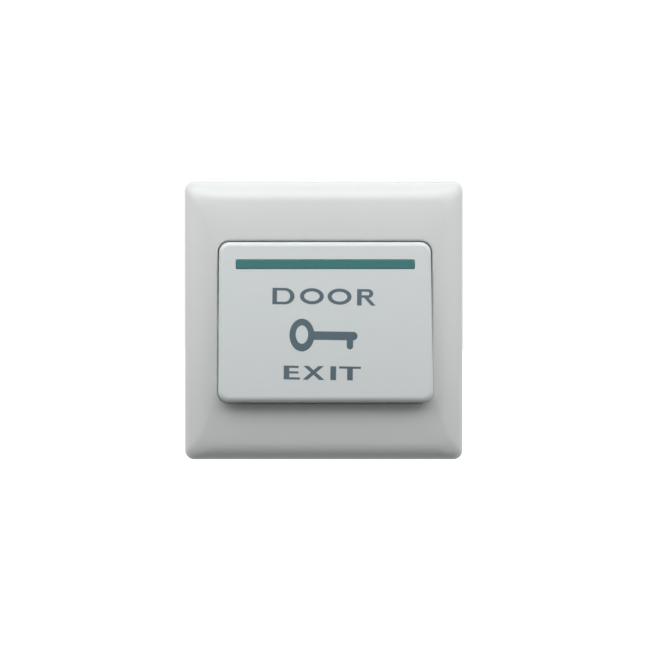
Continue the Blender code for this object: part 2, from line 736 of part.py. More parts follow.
def make_indicator_strip(rocker):
    half_x = STRIP_WIDTH / 2
    half_z = STRIP_HEIGHT / 2
    flange_front = PADDLE_INSIDE - SEAT_GAP
    flange_back = flange_front - FLANGE_THICKNESS
    bar = slab(
        (-half_x, half_x),
        (flange_back + FLANGE_THICKNESS / 2, FACE_ABOVE_PIVOT - STRIP_SINK),
        (STRIP_Z - half_z, STRIP_Z + half_z),
        STRIP_CORNER,
    )
    strip = piece("indicator_strip", bar, STRIP_GREEN, rocker)
    flange_x = PADDLE_WIDTH / 2 - PADDLE_SKIRT_WALL - SEAT_GAP
    flange_z = half_z + FLANGE_LIP
    flange = slab(
        (-flange_x, flange_x),
        (flange_back, flange_front),
        (STRIP_Z - flange_z, STRIP_Z + flange_z),
        FLANGE_LIP,
    )
    join(strip, flange)
    holes = bmesh.new()
    for x in (stake_x(), -stake_x()):
        rod(
            STAKE_RADIUS + SEAT_GAP,
            x,
            STRIP_Z,
            (flange_back - THROUGH, flange_front + THROUGH),
            holes,
        )
    cut(strip, holes)


def make_rocker_carrier(rocker):
    deck = slab(
        (-CARRIER_HALF_X, CARRIER_HALF_X),
        (CARRIER_BACK, CARRIER_FRONT),
        (-CARRIER_HALF_Z, CARRIER_HALF_Z),
        CARRIER_CORNER,
    )
    carrier = piece("rocker_carrier", deck, CARRIER_WHITE, rocker)
    into_deck = CARRIER_BACK + SUNK
    join(carrier, axle(HUB_RADIUS, (-HUB_HALF, HUB_HALF), 0.0, 0.0))
    web = 0.8 * HUB_RADIUS
    join(carrier, box((-HUB_HALF + SUNK, HUB_HALF - SUNK), (0.0, into_deck), (-web, web)))
    trunnion_end = EAR_OUTER + TRUNNION_PAST_EAR
    join(carrier, axle(TRUNNION_RADIUS, (-trunnion_end, trunnion_end), 0.0, 0.0))
    nose_middle = NOSE_RADIUS - NOSE_DROP
    nose_x = (-NOSE_HALF_WIDTH, NOSE_HALF_WIDTH)
    nose_z = (PLUNGER_Z - NOSE_RADIUS, PLUNGER_Z + NOSE_RADIUS)
    join(carrier, box(nose_x, (nose_middle, into_deck), nose_z))
    nose_tip_x = (-NOSE_HALF_WIDTH + MM / 20, NOSE_HALF_WIDTH - MM / 20)
    join(carrier, axle(NOSE_RADIUS - MM / 100, nose_tip_x, nose_middle, PLUNGER_Z))
    ribs = bmesh.new()
    rib_end = CARRIER_HALF_Z - CARRIER_CORNER
    for middle in (CARRIER_RIB_X, -CARRIER_RIB_X):
        rib_x = (middle - CARRIER_RIB / 2, middle + CARRIER_RIB / 2)
        box(rib_x, (CARRIER_BACK - CARRIER_RIB, into_deck), (-rib_end, rib_end), ribs)
    join(carrier, ribs)
    lugs = bmesh.new()
    lug_end = CLIP_X + CLIP_WALL - MM / 10
    for x in ((CARRIER_HALF_X - SUNK, lug_end), (-lug_end, -CARRIER_HALF_X + SUNK)):
        for middle in (LUG_Z, -LUG_Z):
            lug_z = (middle - LUG_HALF, middle + LUG_HALF)
            box(x, (LUG_FRONT - LUG_THICKNESS, LUG_FRONT), lug_z, lugs)
    join(carrier, lugs)


def make_mounting_plate():
    plate = piece(
        "mounting_plate",
        slab(
            (-MOUNT_HALF, MOUNT_HALF),
            (0.0, MOUNT_THICKNESS),
            (-MOUNT_HALF, MOUNT_HALF),
            MOUNT_CORNER,
        ),
        PLATE_WHITE,
    )
    join(plate, bearing_ears())
    for x in (EAR_INNER + EAR_THICKNESS / 2, -EAR_INNER - EAR_THICKNESS / 2):
        reach = EAR_THICKNESS / 2 + THROUGH
        bore = axle(TRUNNION_RADIUS + RUNNING_GAP, (x - reach, x + reach), PIVOT_FRONT, 0.0)
        cut(plate, bore)
    guide_root = MOUNT_THICKNESS / 2
    join(plate, rod(GUIDE_RADIUS, 0.0, PLUNGER_Z, (GUIDE_END, guide_root)))
    cut(plate, rod(SPRING_BORE, 0.0, PLUNGER_Z, (SPRING_SEAT, MOUNT_THICKNESS + THROUGH)))
    guide_bore = PLUNGER_RADIUS + RUNNING_GAP
    cut(plate, rod(guide_bore, 0.0, PLUNGER_Z, (GUIDE_END - THROUGH, SPRING_SEAT + SUNK)))
    bosses = bmesh.new()
    pilots = bmesh.new()
    for x, z in fixing_places():
        rod(FIXING_BOSS_RADIUS, x, z, (MOUNT_THICKNESS - SUNK, FIXING_BOSS_FRONT), bosses)
        pilot = (-THROUGH, FIXING_BOSS_FRONT + THROUGH)
        rod(FIXING_SHANK + THREAD_GAP, x, z, pilot, pilots)
    join(plate, bosses)
    cut(plate, pilots)
    for x in (SCREW_PITCH / 2, -SCREW_PITCH / 2):
        for width, length, back in (
            (SEAT_WIDTH, SLOT_LENGTH + SEAT_WIDTH - SLOT_WIDTH, MOUNT_THICKNESS - SEAT_DEPTH),
            (SLOT_WIDTH, SLOT_LENGTH, -THROUGH),
        ):
            slot = slab(
                (x - width / 2, x + width / 2),
                (back, MOUNT_THICKNESS + THROUGH),
                (-length / 2, length / 2),
                0.49 * width,
            )
            cut(plate, slot)
    cut(plate, hook_windows(HOOK_INNER - SEAT_GAP, (HOOK_LEDGE / 2, MOUNT_THICKNESS + THROUGH)))
    cut(plate, hook_windows(HOOK_INNER - HOOK_CATCH - SEAT_GAP, (-THROUGH, HOOK_LEDGE)))


def bearing_ears():
    bm = bmesh.new()
    fronts = (MOUNT_THICKNESS - SUNK, PIVOT_FRONT + EAR_TOP)
    for x in ((EAR_INNER, EAR_OUTER), (-EAR_OUTER, -EAR_INNER)):
        box(x, fronts, (-EAR_HALF_DEPTH, EAR_HALF_DEPTH), bm)
    return bm


def hook_windows(inner, fronts):
    """Openings for the frame's hooks, from an inner edge out past the hooks."""
    bm = bmesh.new()
    outer = HOOK_OUTER + SEAT_GAP
    half = HOOK_WIDTH / 2 + SEAT_GAP
    for middle in (HOOK_X, -HOOK_X):
        for z in ((inner, outer), (-outer, -inner)):
            box((middle - half, middle + half), fronts, z, bm)
    return bm


def fixing_places():
    return [(x, z) for x in (-FIXING_X, FIXING_X) for z in (-FIXING_Z, FIXING_Z)]


def make_plunger():
    shoulder = PLUNGER_RADIUS / 2
    profile = [
        (0.0, PLUNGER_TOP),
        (PLUNGER_HEAD_RADIUS - PLUNGER_HEAD / 3, PLUNGER_TOP),
        (PLUNGER_HEAD_RADIUS, PLUNGER_TOP - PLUNGER_HEAD / 3),
        (PLUNGER_HEAD_RADIUS, HEAD_BACK),
        (PLUNGER_RADIUS, HEAD_BACK),
        (PLUNGER_RADIUS, PLUNGER_END + shoulder),
        (0.7 * PLUNGER_RADIUS, PLUNGER_END + shoulder / 3),
        (0.0, PLUNGER_END),
    ]
    turned_piece("plunger", profile, CARRIER_WHITE, 0.0, PLUNGER_Z)


def make_return_spring():
    """A coil between the guide's seat and the plunger's head, with its end turns closed."""
    low = SPRING_SEAT + SEAT_GAP + SPRING_WIRE / 2
    high = HEAD_BACK - SEAT_GAP - SPRING_WIRE / 2
    closed_turns = 1
    turns = SPRING_TURNS + 2 * closed_turns
    curve = bpy.data.curves.new("return_spring", "CURVE")
    curve.dimensions = "3D"
    curve.bevel_depth = SPRING_WIRE / 2
    curve.bevel_resolution = 2
    curve.use_fill_caps = True
    curve.materials.append(STEEL)
    count = round(turns * COIL_SIDES) + 1
    spline = curve.splines.new("POLY")
    spline.points.add(count - 1)
    end_pitch = 1.08 * SPRING_WIRE
    for index, point in enumerate(spline.points):
        turn = index / COIL_SIDES
        from_end = min(turn, turns - turn, closed_turns) * end_pitch
        open_share = min(max(turn - closed_turns, 0.0), SPRING_TURNS) / SPRING_TURNS
        open_length = high - low - 2 * closed_turns * end_pitch
        front = low + open_share * open_length
        front += from_end if turn < turns / 2 else 2 * closed_turns * end_pitch - from_end
        angle = 2 * math.pi * turn
        x = SPRING_RADIUS * math.cos(angle)
        z = PLUNGER_Z + SPRING_RADIUS * math.sin(angle)
        point.co = (x, -front, z, 1.0)
    PARTS.objects.link(bpy.data.objects.new("return_spring", curve))


def make_contact_leaf(leaf_pivot):
    """The blade, placed from its rivet, with a hole for the rivet and one for the contact."""
    blade = slab(
        (-LEAF_FOOT, LEAF_ARM + CONTACT_ARM + LEAF_TIP),
        (LEAF_BACK, LEAF_FRONT),
        (-LEAF_WIDTH / 2, LEAF_WIDTH / 2),
        LEAF_CORNER,
    )
    leaf = piece("contact_leaf", blade, BRONZE, leaf_pivot)
    holes = rod(RIVET_SHANK + SEAT_GAP, 0.0, 0.0, (LEAF_BACK - THROUGH, LEAF_FRONT + THROUGH))
    through = (LEAF_BACK - THROUGH, LEAF_FRONT + THROUGH)
    rod(CONTACT_SHANK + SEAT_GAP, LEAF_ARM + CONTACT_ARM, 0.0, through, holes)
    cut(leaf, holes)


def make_moving_contact(leaf_pivot):
    """A silver rivet through the leaf, with its domed head at the back."""
    tail_back = LEAF_FRONT + SEAT_GAP
    head_front = LEAF_BACK - SEAT_GAP
    profile = [
        (0.0, tail_back + CONTACT_TAIL),
        (CONTACT_TAIL_RADIUS, tail_back + CONTACT_TAIL),
        (CONTACT_TAIL_RADIUS, tail_back),
        (CONTACT_SHANK, tail_back),
        (CONTACT_SHANK, head_front),
        (CONTACT_HEAD_RADIUS, head_front),
        (CONTACT_HEAD_RADIUS, MOVING_FACE + CONTACT_DOME),
        (CONTACT_HEAD_RADIUS / 2, MOVING_FACE + CONTACT_DOME / 4),
        (0.0, MOVING_FACE),
    ]
    turned_piece("moving_contact", profile, SILVER, LEAF_ARM + CONTACT_ARM, 0.0, leaf_pivot)


def make_leaf_rivet():
    front_seat = LEAF_FRONT + SEAT_GAP
    back_seat = COMMON_TAB_FRONT - STRAP_THICKNESS - SEAT_GAP
    profile = [
        (0.0, front_seat + RIVET_HEAD),
        (RIVET_HEAD_RADIUS / 2, front_seat + RIVET_HEAD),
        (RIVET_HEAD_RADIUS, front_seat + RIVET_HEAD / 3),
        (RIVET_HEAD_RADIUS, front_seat),
        (RIVET_SHANK, front_seat),
        (RIVET_SHANK, back_seat),
        (RIVET_HEAD_RADIUS, back_seat),
        (RIVET_HEAD_RADIUS, back_seat - RIVET_HEAD / 2),
        (RIVET_HEAD_RADIUS / 2, back_seat - RIVET_HEAD),
        (0.0, back_seat - RIVET_HEAD),
    ]
    turned_piece("leaf_rivet", profile, BRASS, -LEAF_ARM, PLUNGER_Z)


def make_terminal(name, side, tab_end, tab_front, hole_x, hole_radius):
    """A strap with a tab in the chamber, a riser through the partition and a tab in its bay."""
    middle_front = tab_front - STRAP_THICKNESS / 2
    middle_rear = REAR_TAB_FRONT - STRAP_THICKNESS / 2
    bay_end = TERMINAL_X - CLAMP_HALF
    corners = [
        Vector((side * tab_end, middle_front)),
        Vector((side * RISER_X, middle_front)),
        Vector((side * RISER_X, middle_rear)),
        Vector((side * bay_end, middle_rear)),
    ]
    strap = bent_strap(name, filleted(corners, STRAP_BEND), BRASS)
    holes = rod(
        hole_radius,
        side * hole_x,
        PLUNGER_Z,
        (tab_front - STRAP_THICKNESS - THROUGH, tab_front + THROUGH),
    )
    rod(
        TERMINAL_SCREW_RADIUS + THREAD_GAP,
        side * TERMINAL_X,
        PLUNGER_Z,
        (REAR_TAB_BACK - THROUGH, REAR_TAB_FRONT + THROUGH),
        holes,
    )
    cut(strap, holes)


def make_fixed_contact():
    seat = OPEN_TAB_FRONT + SEAT_GAP
    tail_seat = OPEN_TAB_FRONT - STRAP_THICKNESS - SEAT_GAP
    profile = [
        (0.0, FIXED_FACE),
        (CONTACT_HEAD_RADIUS / 2, FIXED_FACE - CONTACT_DOME / 4),
        (CONTACT_HEAD_RADIUS, FIXED_FACE - CONTACT_DOME),
        (CONTACT_HEAD_RADIUS, seat),
        (CONTACT_SHANK, seat),
        (CONTACT_SHANK, tail_seat),
        (CONTACT_TAIL_RADIUS, tail_seat),
        (CONTACT_TAIL_RADIUS, tail_seat - CONTACT_TAIL),
        (0.0, tail_seat - CONTACT_TAIL),
    ]
    turned_piece("fixed_contact", profile, SILVER, CONTACT_ARM, PLUNGER_Z)


def make_wire_clamp(name, side):
    """A saddle whose lips hook over the edges of the rear tab."""
    lip_inner = STRAP_WIDTH / 2 + SEAT_GAP
    lip_outer = lip_inner + CLAMP_LIP
    clamp_front = CLAMP_BACK + CLAMP_THICKNESS
    lip_front = clamp_front + CLAMP_THICKNESS
    outline = [
        (-lip_outer, CLAMP_BACK),
        (lip_outer, CLAMP_BACK),
        (lip_outer, lip_front),
        (lip_inner, lip_front),
        (lip_inner, clamp_front),
        (-lip_inner, clamp_front),
        (-lip_inner, lip_front),
        (-lip_outer, lip_front),
    ]
    start = side * TERMINAL_X - CLAMP_HALF
    points = [(start, -front, PLUNGER_Z + out) for out, front in outline]
    clamp = piece(name, prism(points, (2 * CLAMP_HALF, 0.0, 0.0)), STEEL)
    hole = rod(
        TERMINAL_SCREW_RADIUS + SEAT_GAP,
        side * TERMINAL_X,
        PLUNGER_Z,
        (CLAMP_BACK - THROUGH, clamp_front + THROUGH),
    )
    cut(clamp, hole)


def make_terminal_screw(name, side):
    back = TERMINAL_HEAD_FRONT - TERMINAL_HEAD
    tip = REAR_TAB_FRONT + TERMINAL_END
    profile = [
        (0.0, tip),
        (0.7 * TERMINAL_SCREW_RADIUS, tip),
        (TERMINAL_SCREW_RADIUS, tip - TERMINAL_SCREW_RADIUS / 3),
        (TERMINAL_SCREW_RADIUS, TERMINAL_HEAD_FRONT),
        (TERMINAL_HEAD_RADIUS, TERMINAL_HEAD_FRONT),
        (TERMINAL_HEAD_RADIUS, back + TERMINAL_HEAD / 3),
        (0.75 * TERMINAL_HEAD_RADIUS, back),
        (0.0, back),
    ]
    turned_piece(name, profile, STEEL, side * TERMINAL_X, PLUNGER_Z)


def make_housing_screw(name, x, z):
    seat = FLANGE_BACK - SEAT_GAP
    back = seat - FIXING_HEAD
    tip = FIXING_BOSS_FRONT - FIXING_END_DEPTH
    profile = [
        (0.0, tip),
        (FIXING_SHANK / 3, tip),
        (FIXING_SHANK, tip - FIXING_SHANK),
        (FIXING_SHANK, seat),
        (FIXING_HEAD_RADIUS, seat),
        (FIXING_HEAD_RADIUS, back + FIXING_HEAD / 2),
        (0.65 * FIXING_HEAD_RADIUS, back),
        (0.0, back),
    ]
    turned_piece(name, profile, STEEL, x, z)


def make_switch_housing():
    rim = -SEAT_GAP
    body = slab(
        (-HOUSING_HALF, HOUSING_HALF),
        (PARTITION_BACK, rim),
        (HOUSING_BOTTOM, HOUSING_TOP),
        HOUSING_CORNER,
    )
    housing = piece("switch_housing", body, HOUSING_BLACK)
    block_top = BAY_TOP + HOUSING_WALL
    block = slab(
        (-HOUSING_HALF + MM / 20, HOUSING_HALF - MM / 20),
        (HOUSING_BACK, PARTITION_BACK + PARTITION / 2),
        (HOUSING_BOTTOM + MM / 20, block_top),
        HOUSING_CORNER,
    )
    join(housing, block)
    for z in (FIXING_Z, -FIXING_Z):
        reach = FIXING_X + FLANGE_ROUND
        flange = slab(
            (-reach, reach),
            (FLANGE_BACK, rim - MM / 20),
            (z - FLANGE_ROUND, z + FLANGE_ROUND),
            0.98 * FLANGE_ROUND,
        )
        join(housing, flange)
    chamber = slab(
        (-CHAMBER_HALF, CHAMBER_HALF),
        (PARTITION_FRONT, rim + THROUGH),
        (CHAMBER_BOTTOM, HOUSING_TOP - HOUSING_WALL),
        HOUSING_CORNER - HOUSING_WALL / 2,
    )
    cut(housing, chamber)
    bays = bmesh.new()
    for x in ((BARRIER / 2, CHAMBER_HALF), (-CHAMBER_HALF, -BARRIER / 2)):
        bay_z = (HOUSING_BOTTOM - THROUGH, BAY_TOP)
        box(x, (HOUSING_BACK - THROUGH, PARTITION_BACK), bay_z, bays)
    cut(housing, bays)
    cut(housing, riser_slots())
    holes = bmesh.new()
    for x, z in fixing_places():
        rod(FIXING_SHANK + SEAT_GAP, x, z, (FLANGE_BACK - THROUGH, rim + THROUGH), holes)
    for side in (1, -1):
        relief = (PARTITION_BACK - THROUGH, REAR_TAB_FRONT + TERMINAL_END + SEAT_GAP)
        rod(TERMINAL_SCREW_RADIUS + SEAT_GAP, side * TERMINAL_X, PLUNGER_Z, relief, holes)
    cut(housing, holes)


def riser_slots():
    """Slots in the partition for the risers of the two terminals."""
    bm = bmesh.new()
    half = STRAP_THICKNESS / 2 + SEAT_GAP
    reach = STRAP_WIDTH / 2 + SEAT_GAP
    for middle in (RISER_X, -RISER_X):
        box(
            (middle - half, middle + half),
            (PARTITION_BACK - THROUGH, PARTITION_FRONT + THROUGH),
            (PLUNGER_Z - reach, PLUNGER_Z + reach),
            bm,
        )
    return bm


def pivot_empty(name, location, tilt=0.0):
    """An empty on a joint's axis, which the moving pieces have as their parent."""
    empty = bpy.data.objects.new(name, None)
    empty.location = location
    empty.rotation_euler = (tilt, 0.0, 0.0)
    PARTS.objects.link(empty)
    return empty


def build():
    rocker = pivot_empty("rocker_pivot", (0.0, -PIVOT_FRONT, 0.0), -REST_TILT)
    leaf_pivot = pivot_empty("leaf_pivot", (-LEAF_ARM, 0.0, PLUNGER_Z))
    make_trim_frame()
    make_paddle(rocker)
    make_indicator_strip(rocker)
    make_rocker_carrier(rocker)
    make_mounting_plate()
    make_plunger()
    make_return_spring()
    make_contact_leaf(leaf_pivot)
    make_moving_contact(leaf_pivot)
    make_leaf_rivet()
    rivet_hole = RIVET_SHANK + SEAT_GAP
    common_end = LEAF_ARM - LEAF_FOOT
    make_terminal("common_terminal", -1, common_end, COMMON_TAB_FRONT, LEAF_ARM, rivet_hole)
    contact_hole = CONTACT_SHANK + SEAT_GAP
    open_end = CONTACT_ARM - CONTACT_HEAD_RADIUS - LEAF_TIP / 2
    make_terminal("open_terminal", 1, open_end, OPEN_TAB_FRONT, CONTACT_ARM, contact_hole)
    make_fixed_contact()
    for name, side in (("common", -1), ("open", 1)):
        make_wire_clamp(f"wire_clamp_{name}", side)
        make_terminal_screw(f"terminal_screw_{name}", side)
    make_switch_housing()
    for number, (x, z) in enumerate(fixing_places(), start=1):
        make_housing_screw(f"housing_screw_{number}", x, z)


build()
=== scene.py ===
"""Door exit button: the finished pieces and the studio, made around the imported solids.

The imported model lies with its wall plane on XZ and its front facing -Y, in metres.
"Front" is the distance in front of the wall. Pieces of the rocker are modelled untilted,
measured from the rocker's axis, and laid into place at the end.
"""

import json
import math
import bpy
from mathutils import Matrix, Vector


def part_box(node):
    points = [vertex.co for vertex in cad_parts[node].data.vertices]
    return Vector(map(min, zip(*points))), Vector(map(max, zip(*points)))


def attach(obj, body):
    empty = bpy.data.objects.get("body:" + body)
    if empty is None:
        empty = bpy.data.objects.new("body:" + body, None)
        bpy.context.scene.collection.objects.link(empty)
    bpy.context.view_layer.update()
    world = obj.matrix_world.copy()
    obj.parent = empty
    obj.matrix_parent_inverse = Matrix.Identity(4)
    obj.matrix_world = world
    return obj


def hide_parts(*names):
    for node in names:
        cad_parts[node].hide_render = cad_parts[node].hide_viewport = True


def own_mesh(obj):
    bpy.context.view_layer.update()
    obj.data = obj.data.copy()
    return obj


bl_info = {
    "name": "Door exit button",
    "version": (1, 0, 0),
    "blender": (4, 5, 0),
    "location": "3D View > Sidebar > Exit Button",
    "description": "Finishes the pieces of a door exit button and sets up its studio",
    "category": "Object",
}

import bmesh
import bpy
from bpy.props import FloatProperty, FloatVectorProperty, PointerProperty
from bpy.types import Operator, Panel, PropertyGroup
from mathutils import Matrix, Vector

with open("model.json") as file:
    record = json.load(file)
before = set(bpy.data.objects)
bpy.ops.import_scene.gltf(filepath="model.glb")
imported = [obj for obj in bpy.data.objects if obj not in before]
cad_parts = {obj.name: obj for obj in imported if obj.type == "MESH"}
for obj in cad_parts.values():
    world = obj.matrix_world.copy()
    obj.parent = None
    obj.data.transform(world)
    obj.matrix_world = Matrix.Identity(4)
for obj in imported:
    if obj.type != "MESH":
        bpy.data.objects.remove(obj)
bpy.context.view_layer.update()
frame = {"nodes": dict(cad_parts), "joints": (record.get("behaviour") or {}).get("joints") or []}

MM = 0.001
NODES = frame["nodes"]
JOINTS = {joint["name"]: joint for joint in frame["joints"]}
MERGE = MM / 1000  # points closer together than this are one
HAIR = MM / 100  # margin when points are picked by their place
BITE = MM / 10  # how far two joined shapes reach into each other
SUNK = MM / 2  # how far a rib or a stake is sunk into its wall
BEYOND = MM  # how far a cutting shape stands past what it cuts
CLEARANCE = 0.3 * MM  # between a piece and what it passes or takes in
PROUD = 0.02 * MM  # how far printing stands on the surface under it
SMOOTH_ANGLE = math.radians(32)
SHARP_ANGLE = math.radians(35)
HOLD = 0.05 * MM  # border of a flat face, which keeps its shading flat
WHITE = (1.0, 1.0, 1.0, 1.0)


def millimetres(*values):
    return tuple(value * MM for value in values)


def span(middle, half):
    """Both ends of a stretch, from its middle and half its length."""
    return middle - half, middle + half


def front_normal(node):
    """Normal of the largest face of a node that looks to the front."""
    faces = [face for face in NODES[node].data.polygons if face.normal.y < -0.9]
    return max(faces, key=lambda face: face.area).normal.copy()


PIVOT = Vector(JOINTS["paddle_rock"]["pos_m"])
FACE_NORMAL = front_normal("paddle")
REST_TILT = math.atan2(FACE_NORMAL.z, -FACE_NORMAL.y)
ROCKER = Matrix.Translation(PIVOT) @ Matrix.Rotation(-REST_TILT, 4, "X")


def rocker_box(node):
    """Lowest and highest corner of a node of the rocker, untilted and seen from its axis."""
    inverse = ROCKER.inverted()
    points = [inverse @ vert.co for vert in NODES[node].data.vertices]
    low = Vector(min(point[axis] for point in points) for axis in range(3))
    high = Vector(max(point[axis] for point in points) for axis in range(3))
    return low, high


PADDLE_LOW, PADDLE_HIGH = rocker_box("paddle")
STRIP_LOW, STRIP_HIGH = rocker_box("indicator_strip")
FRAME_LOW, FRAME_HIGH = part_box("trim_frame")
PLATE_HALF = FRAME_HIGH.x
RIM_FRONT = -FRAME_LOW.y
FACE_FRONT = -PADDLE_LOW.y
SKIRT_END = -PADDLE_HIGH.y


# Sizes and colours that a user would change


def length(name, description, value):
    """A length in millimetres as a property in metres."""
    return FloatProperty(
        name=name, description=description, default=value * MM, unit="LENGTH", precision=5
    )


def colour(name, description, value):
    return FloatVectorProperty(
        name=name, description=description, default=value, subtype="COLOR", size=3, min=0.0, max=1.0
    )


def angle(name, description, degrees):
    return FloatProperty(
        name=name, description=description, default=math.radians(degrees), subtype="ANGLE"
    )


def share(name, description, value):
    return FloatProperty(name=name, description=description, default=value, min=0.0, soft_max=1.0)


class TrimFrameSizes(PropertyGroup):
    corner: length("Corner", "Radius of the plate's corners", 2.7)
    land: length("Edge land", "Straight stretch of the edge next to the wall", 1.6)
    bullnose_width: length("Bullnose width", "Width of the rounded edge, top and bottom", 6.2)
    bullnose_top: length("Bullnose top", "Front of the bullnose where the crown starts", 7.2)
    bullnose_end: angle("Bullnose end", "Slope at which the bullnose meets the crown", 80)
    side_end: angle("Side end", "Slope at which the side edge meets the rim", 78)
    crown_ease: share("Crown ease", "How much steeper the crown starts than it runs", 1.59)
    rim: length("Rim", "Rounding of the rim above and below the opening", 0.7)
    rim_side: length("Rim side", "Rounding of the rim beside the opening", 0.45)
    side_gap: length("Side gap", "Clearance beside the paddle", 0.30)
    end_gap: length("End gap", "Clearance above and below the paddle", 0.5)
    wall: length("Wall", "Wall of the frame", 1.8)
    well_wall: length("Well wall", "Wall of the well around the paddle", 1.3)
    well_back: length("Well back", "Front of the well's lower edge", 2.4)
    inner_corner: length("Inner corner", "Radius of the corners behind the wall", 1.0)
    rib: length("Rib", "Thickness of the stiffening ribs", 1.0)
    rib_place: length("Rib place", "Distance of the ribs from the middle", 14.0)
    guide_rib: length("Guide rib", "Width of the rib that keeps the paddle in the middle", 3.8)
    guide_gap: length("Guide gap", "Clearance between that rib and the paddle", 0.15)
    notch: length("Notch", "Width of the notch for prying the frame off", 10.0)
    notch_height: length("Notch height", "Height of that notch", 1.0)
    hook_place: length("Hook place", "Distance of the snap hooks from the middle", 22.0)
    hook_width: length("Hook width", "Width of a snap hook", 6.0)
    hook_thickness: length("Hook thickness", "Thickness of a snap hook", 1.0)
    hook_catch: length("Hook catch", "How far a hook's barb reaches in", 0.7)
    hook_edge: length("Hook edge", "From the mounting plate's edge to a hook", 1.3)
    hook_barb: length("Hook barb", "Front of a hook's barb", 0.7)
    hook_tip: length("Hook tip", "Front of a hook's tip", 0.15)


class PaddleSizes(PropertyGroup):
    corner: length("Corner", "Radius of the paddle's corners", 3.3)
    edge: length("Edge", "Depth of the rounding around the face", 1.8)
    edge_top: length("Edge, top", "Width of that rounding along the top", 1.6)
    edge_side: length("Edge, sides", "Width of that rounding along the sides", 1.5)
    edge_bottom: length("Edge, bottom", "Width of that rounding along the bottom", 2.1)
    face_wall: length("Face wall", "Thickness of the face", 1.8)
    skirt_wall: length("Skirt wall", "Thickness of the skirt", 1.6)
    relief: length("Relief", "Half width of the arches over the wall screws", 4.7)
    relief_front: length("Relief front", "Height of those arches in front of the wall", 5.0)
    rib: length("Rib", "Thickness of the ribs behind the face", 1.0)
    rib_depth: length("Rib depth", "Depth of those ribs", 1.8)
    clip_place: length("Clip place", "Inner side of the walls that the carrier snaps into", 13.8)
    clip_wall: length("Clip wall", "Thickness of those walls", 1.2)
    clip_half: length("Clip half", "Half the height of those walls", 10.0)
    window_place: length("Window place", "Distance of their windows from the middle", 7.0)
    window_half: length("Window half", "Half the height of a window", 2.1)
    window_depth: length("Window depth", "Clear depth of a window", 1.45)
    stake: length("Stake", "Radius of the heat stakes beside the strip", 0.7)
    stake_length: length("Stake length", "Length of the stakes", 1.7)


class StripSizes(PropertyGroup):
    margin: length("Margin", "From the strip's end to the paddle's side", 5.3)
    height: length("Height", "Height of the strip", 2.74)
    lift: length("Lift", "How far the strip sits above the middle of its flange", 0.06)
    corner: length("Corner", "Radius of the strip's corners", 0.4)
    edge: length("Edge", "Rounding of the strip's front edge", 0.15)
    gap: length("Gap", "Clearance around the strip", 0.12)
    flange: length("Flange", "Thickness of the flange behind the face", 0.8)


class SignSizes(PropertyGroup):
    door_height: length("Upper word height", "Height of the upper word's letters", 4.93)
    door_stem: length("Upper word stem", "Width of the upper word's upright strokes", 1.38)
    door_bar: length("Upper word bar", "Thickness of the upper word's level strokes", 0.78)
    exit_height: length("Lower word height", "Height of the lower word's letters", 4.10)
    exit_stem: length("Lower word stem", "Width of the lower word's upright strokes", 1.68)
    exit_bar: length("Lower word bar", "Thickness of the lower word's level strokes", 0.65)
    askew: angle("Askew", "Turn of the printing, clockwise", 0.85)


class FinishColours(PropertyGroup):
    frame: colour("Frame", "Colour of the frame's plastic", (0.732, 0.752, 0.748))
    paddle: colour("Paddle", "Colour of the paddle's plastic", (0.715, 0.754, 0.757))
    strip: colour("Strip", "Colour of the strip", (0.066, 0.220, 0.215))
    print: colour("Print", "Colour of the printing", (0.115, 0.167, 0.199))
    inner: colour("Inner plastic", "Colour of the carrier and the plunger", (0.70, 0.70, 0.68))
    plate: colour("Plate", "Colour of the mounting plate", (0.66, 0.67, 0.66))
    housing: colour("Housing", "Colour of the switch housing", (0.03, 0.03, 0.032))
    brass: colour("Brass", "Colour of the terminals", (0.72, 0.50, 0.20))
    bronze: colour("Bronze", "Colour of the contact leaf", (0.62, 0.36, 0.18))
    silver: colour("Silver", "Colour of the contacts", (0.80, 0.79, 0.76))
    steel: colour("Steel", "Colour of the screws, clamps and spring", (0.62, 0.63, 0.65))


class StudioSizes(PropertyGroup):
    camera_x: length("Camera X", "Place of the camera along X", -18.26)
    camera_front: length("Camera front", "Distance of the camera in front of the wall", 280.0)
    camera_z: length("Camera Z", "Height of the camera", 26.14)
    focal: FloatProperty(
        name="Focal length", description="Lens of the camera, in millimetres", default=49.68
    )
    shift_x: FloatProperty(
        name="Shift X", description="Sideways shift, as a share of the frame", default=0.0926
    )
    shift_y: FloatProperty(
        name="Shift Y", description="Upward shift, as a share of the frame", default=-0.1366
    )
    brightness: FloatProperty(
        name="Brightness", description="Factor on the power of every lamp", default=1.0
    )
    behind: share("Behind", "Brightness of the white surroundings behind the object", 0.70)
    around: share("Around", "Brightness of the surroundings in front of the object", 0.0)
    floor_drop: length("Floor drop", "Depth of the floor under the middle of the plate", 260.0)


GROUPS = {
    "trim_frame_sizes": TrimFrameSizes,
    "paddle_sizes": PaddleSizes,
    "strip_sizes": StripSizes,
    "sign_sizes": SignSizes,
    "finish_colours": FinishColours,
    "studio_sizes": StudioSizes,
}


# Modelling by hand: selection, primitives and finishing


def choose(obj):
    """Make one object the only selected one, and the active one."""
    bpy.ops.object.select_all(action="DESELECT")
    obj.select_set(True)
    bpy.context.view_layer.objects.active = obj


def edit(obj, whole=False):
    """Start to edit one object, with nothing or the whole of its mesh selected."""
    choose(obj)
    bpy.ops.object.mode_set(mode="EDIT")
    bpy.ops.mesh.select_all(action="SELECT" if whole else "DESELECT")


def leave_edit():
    bpy.ops.object.mode_set(mode="OBJECT")


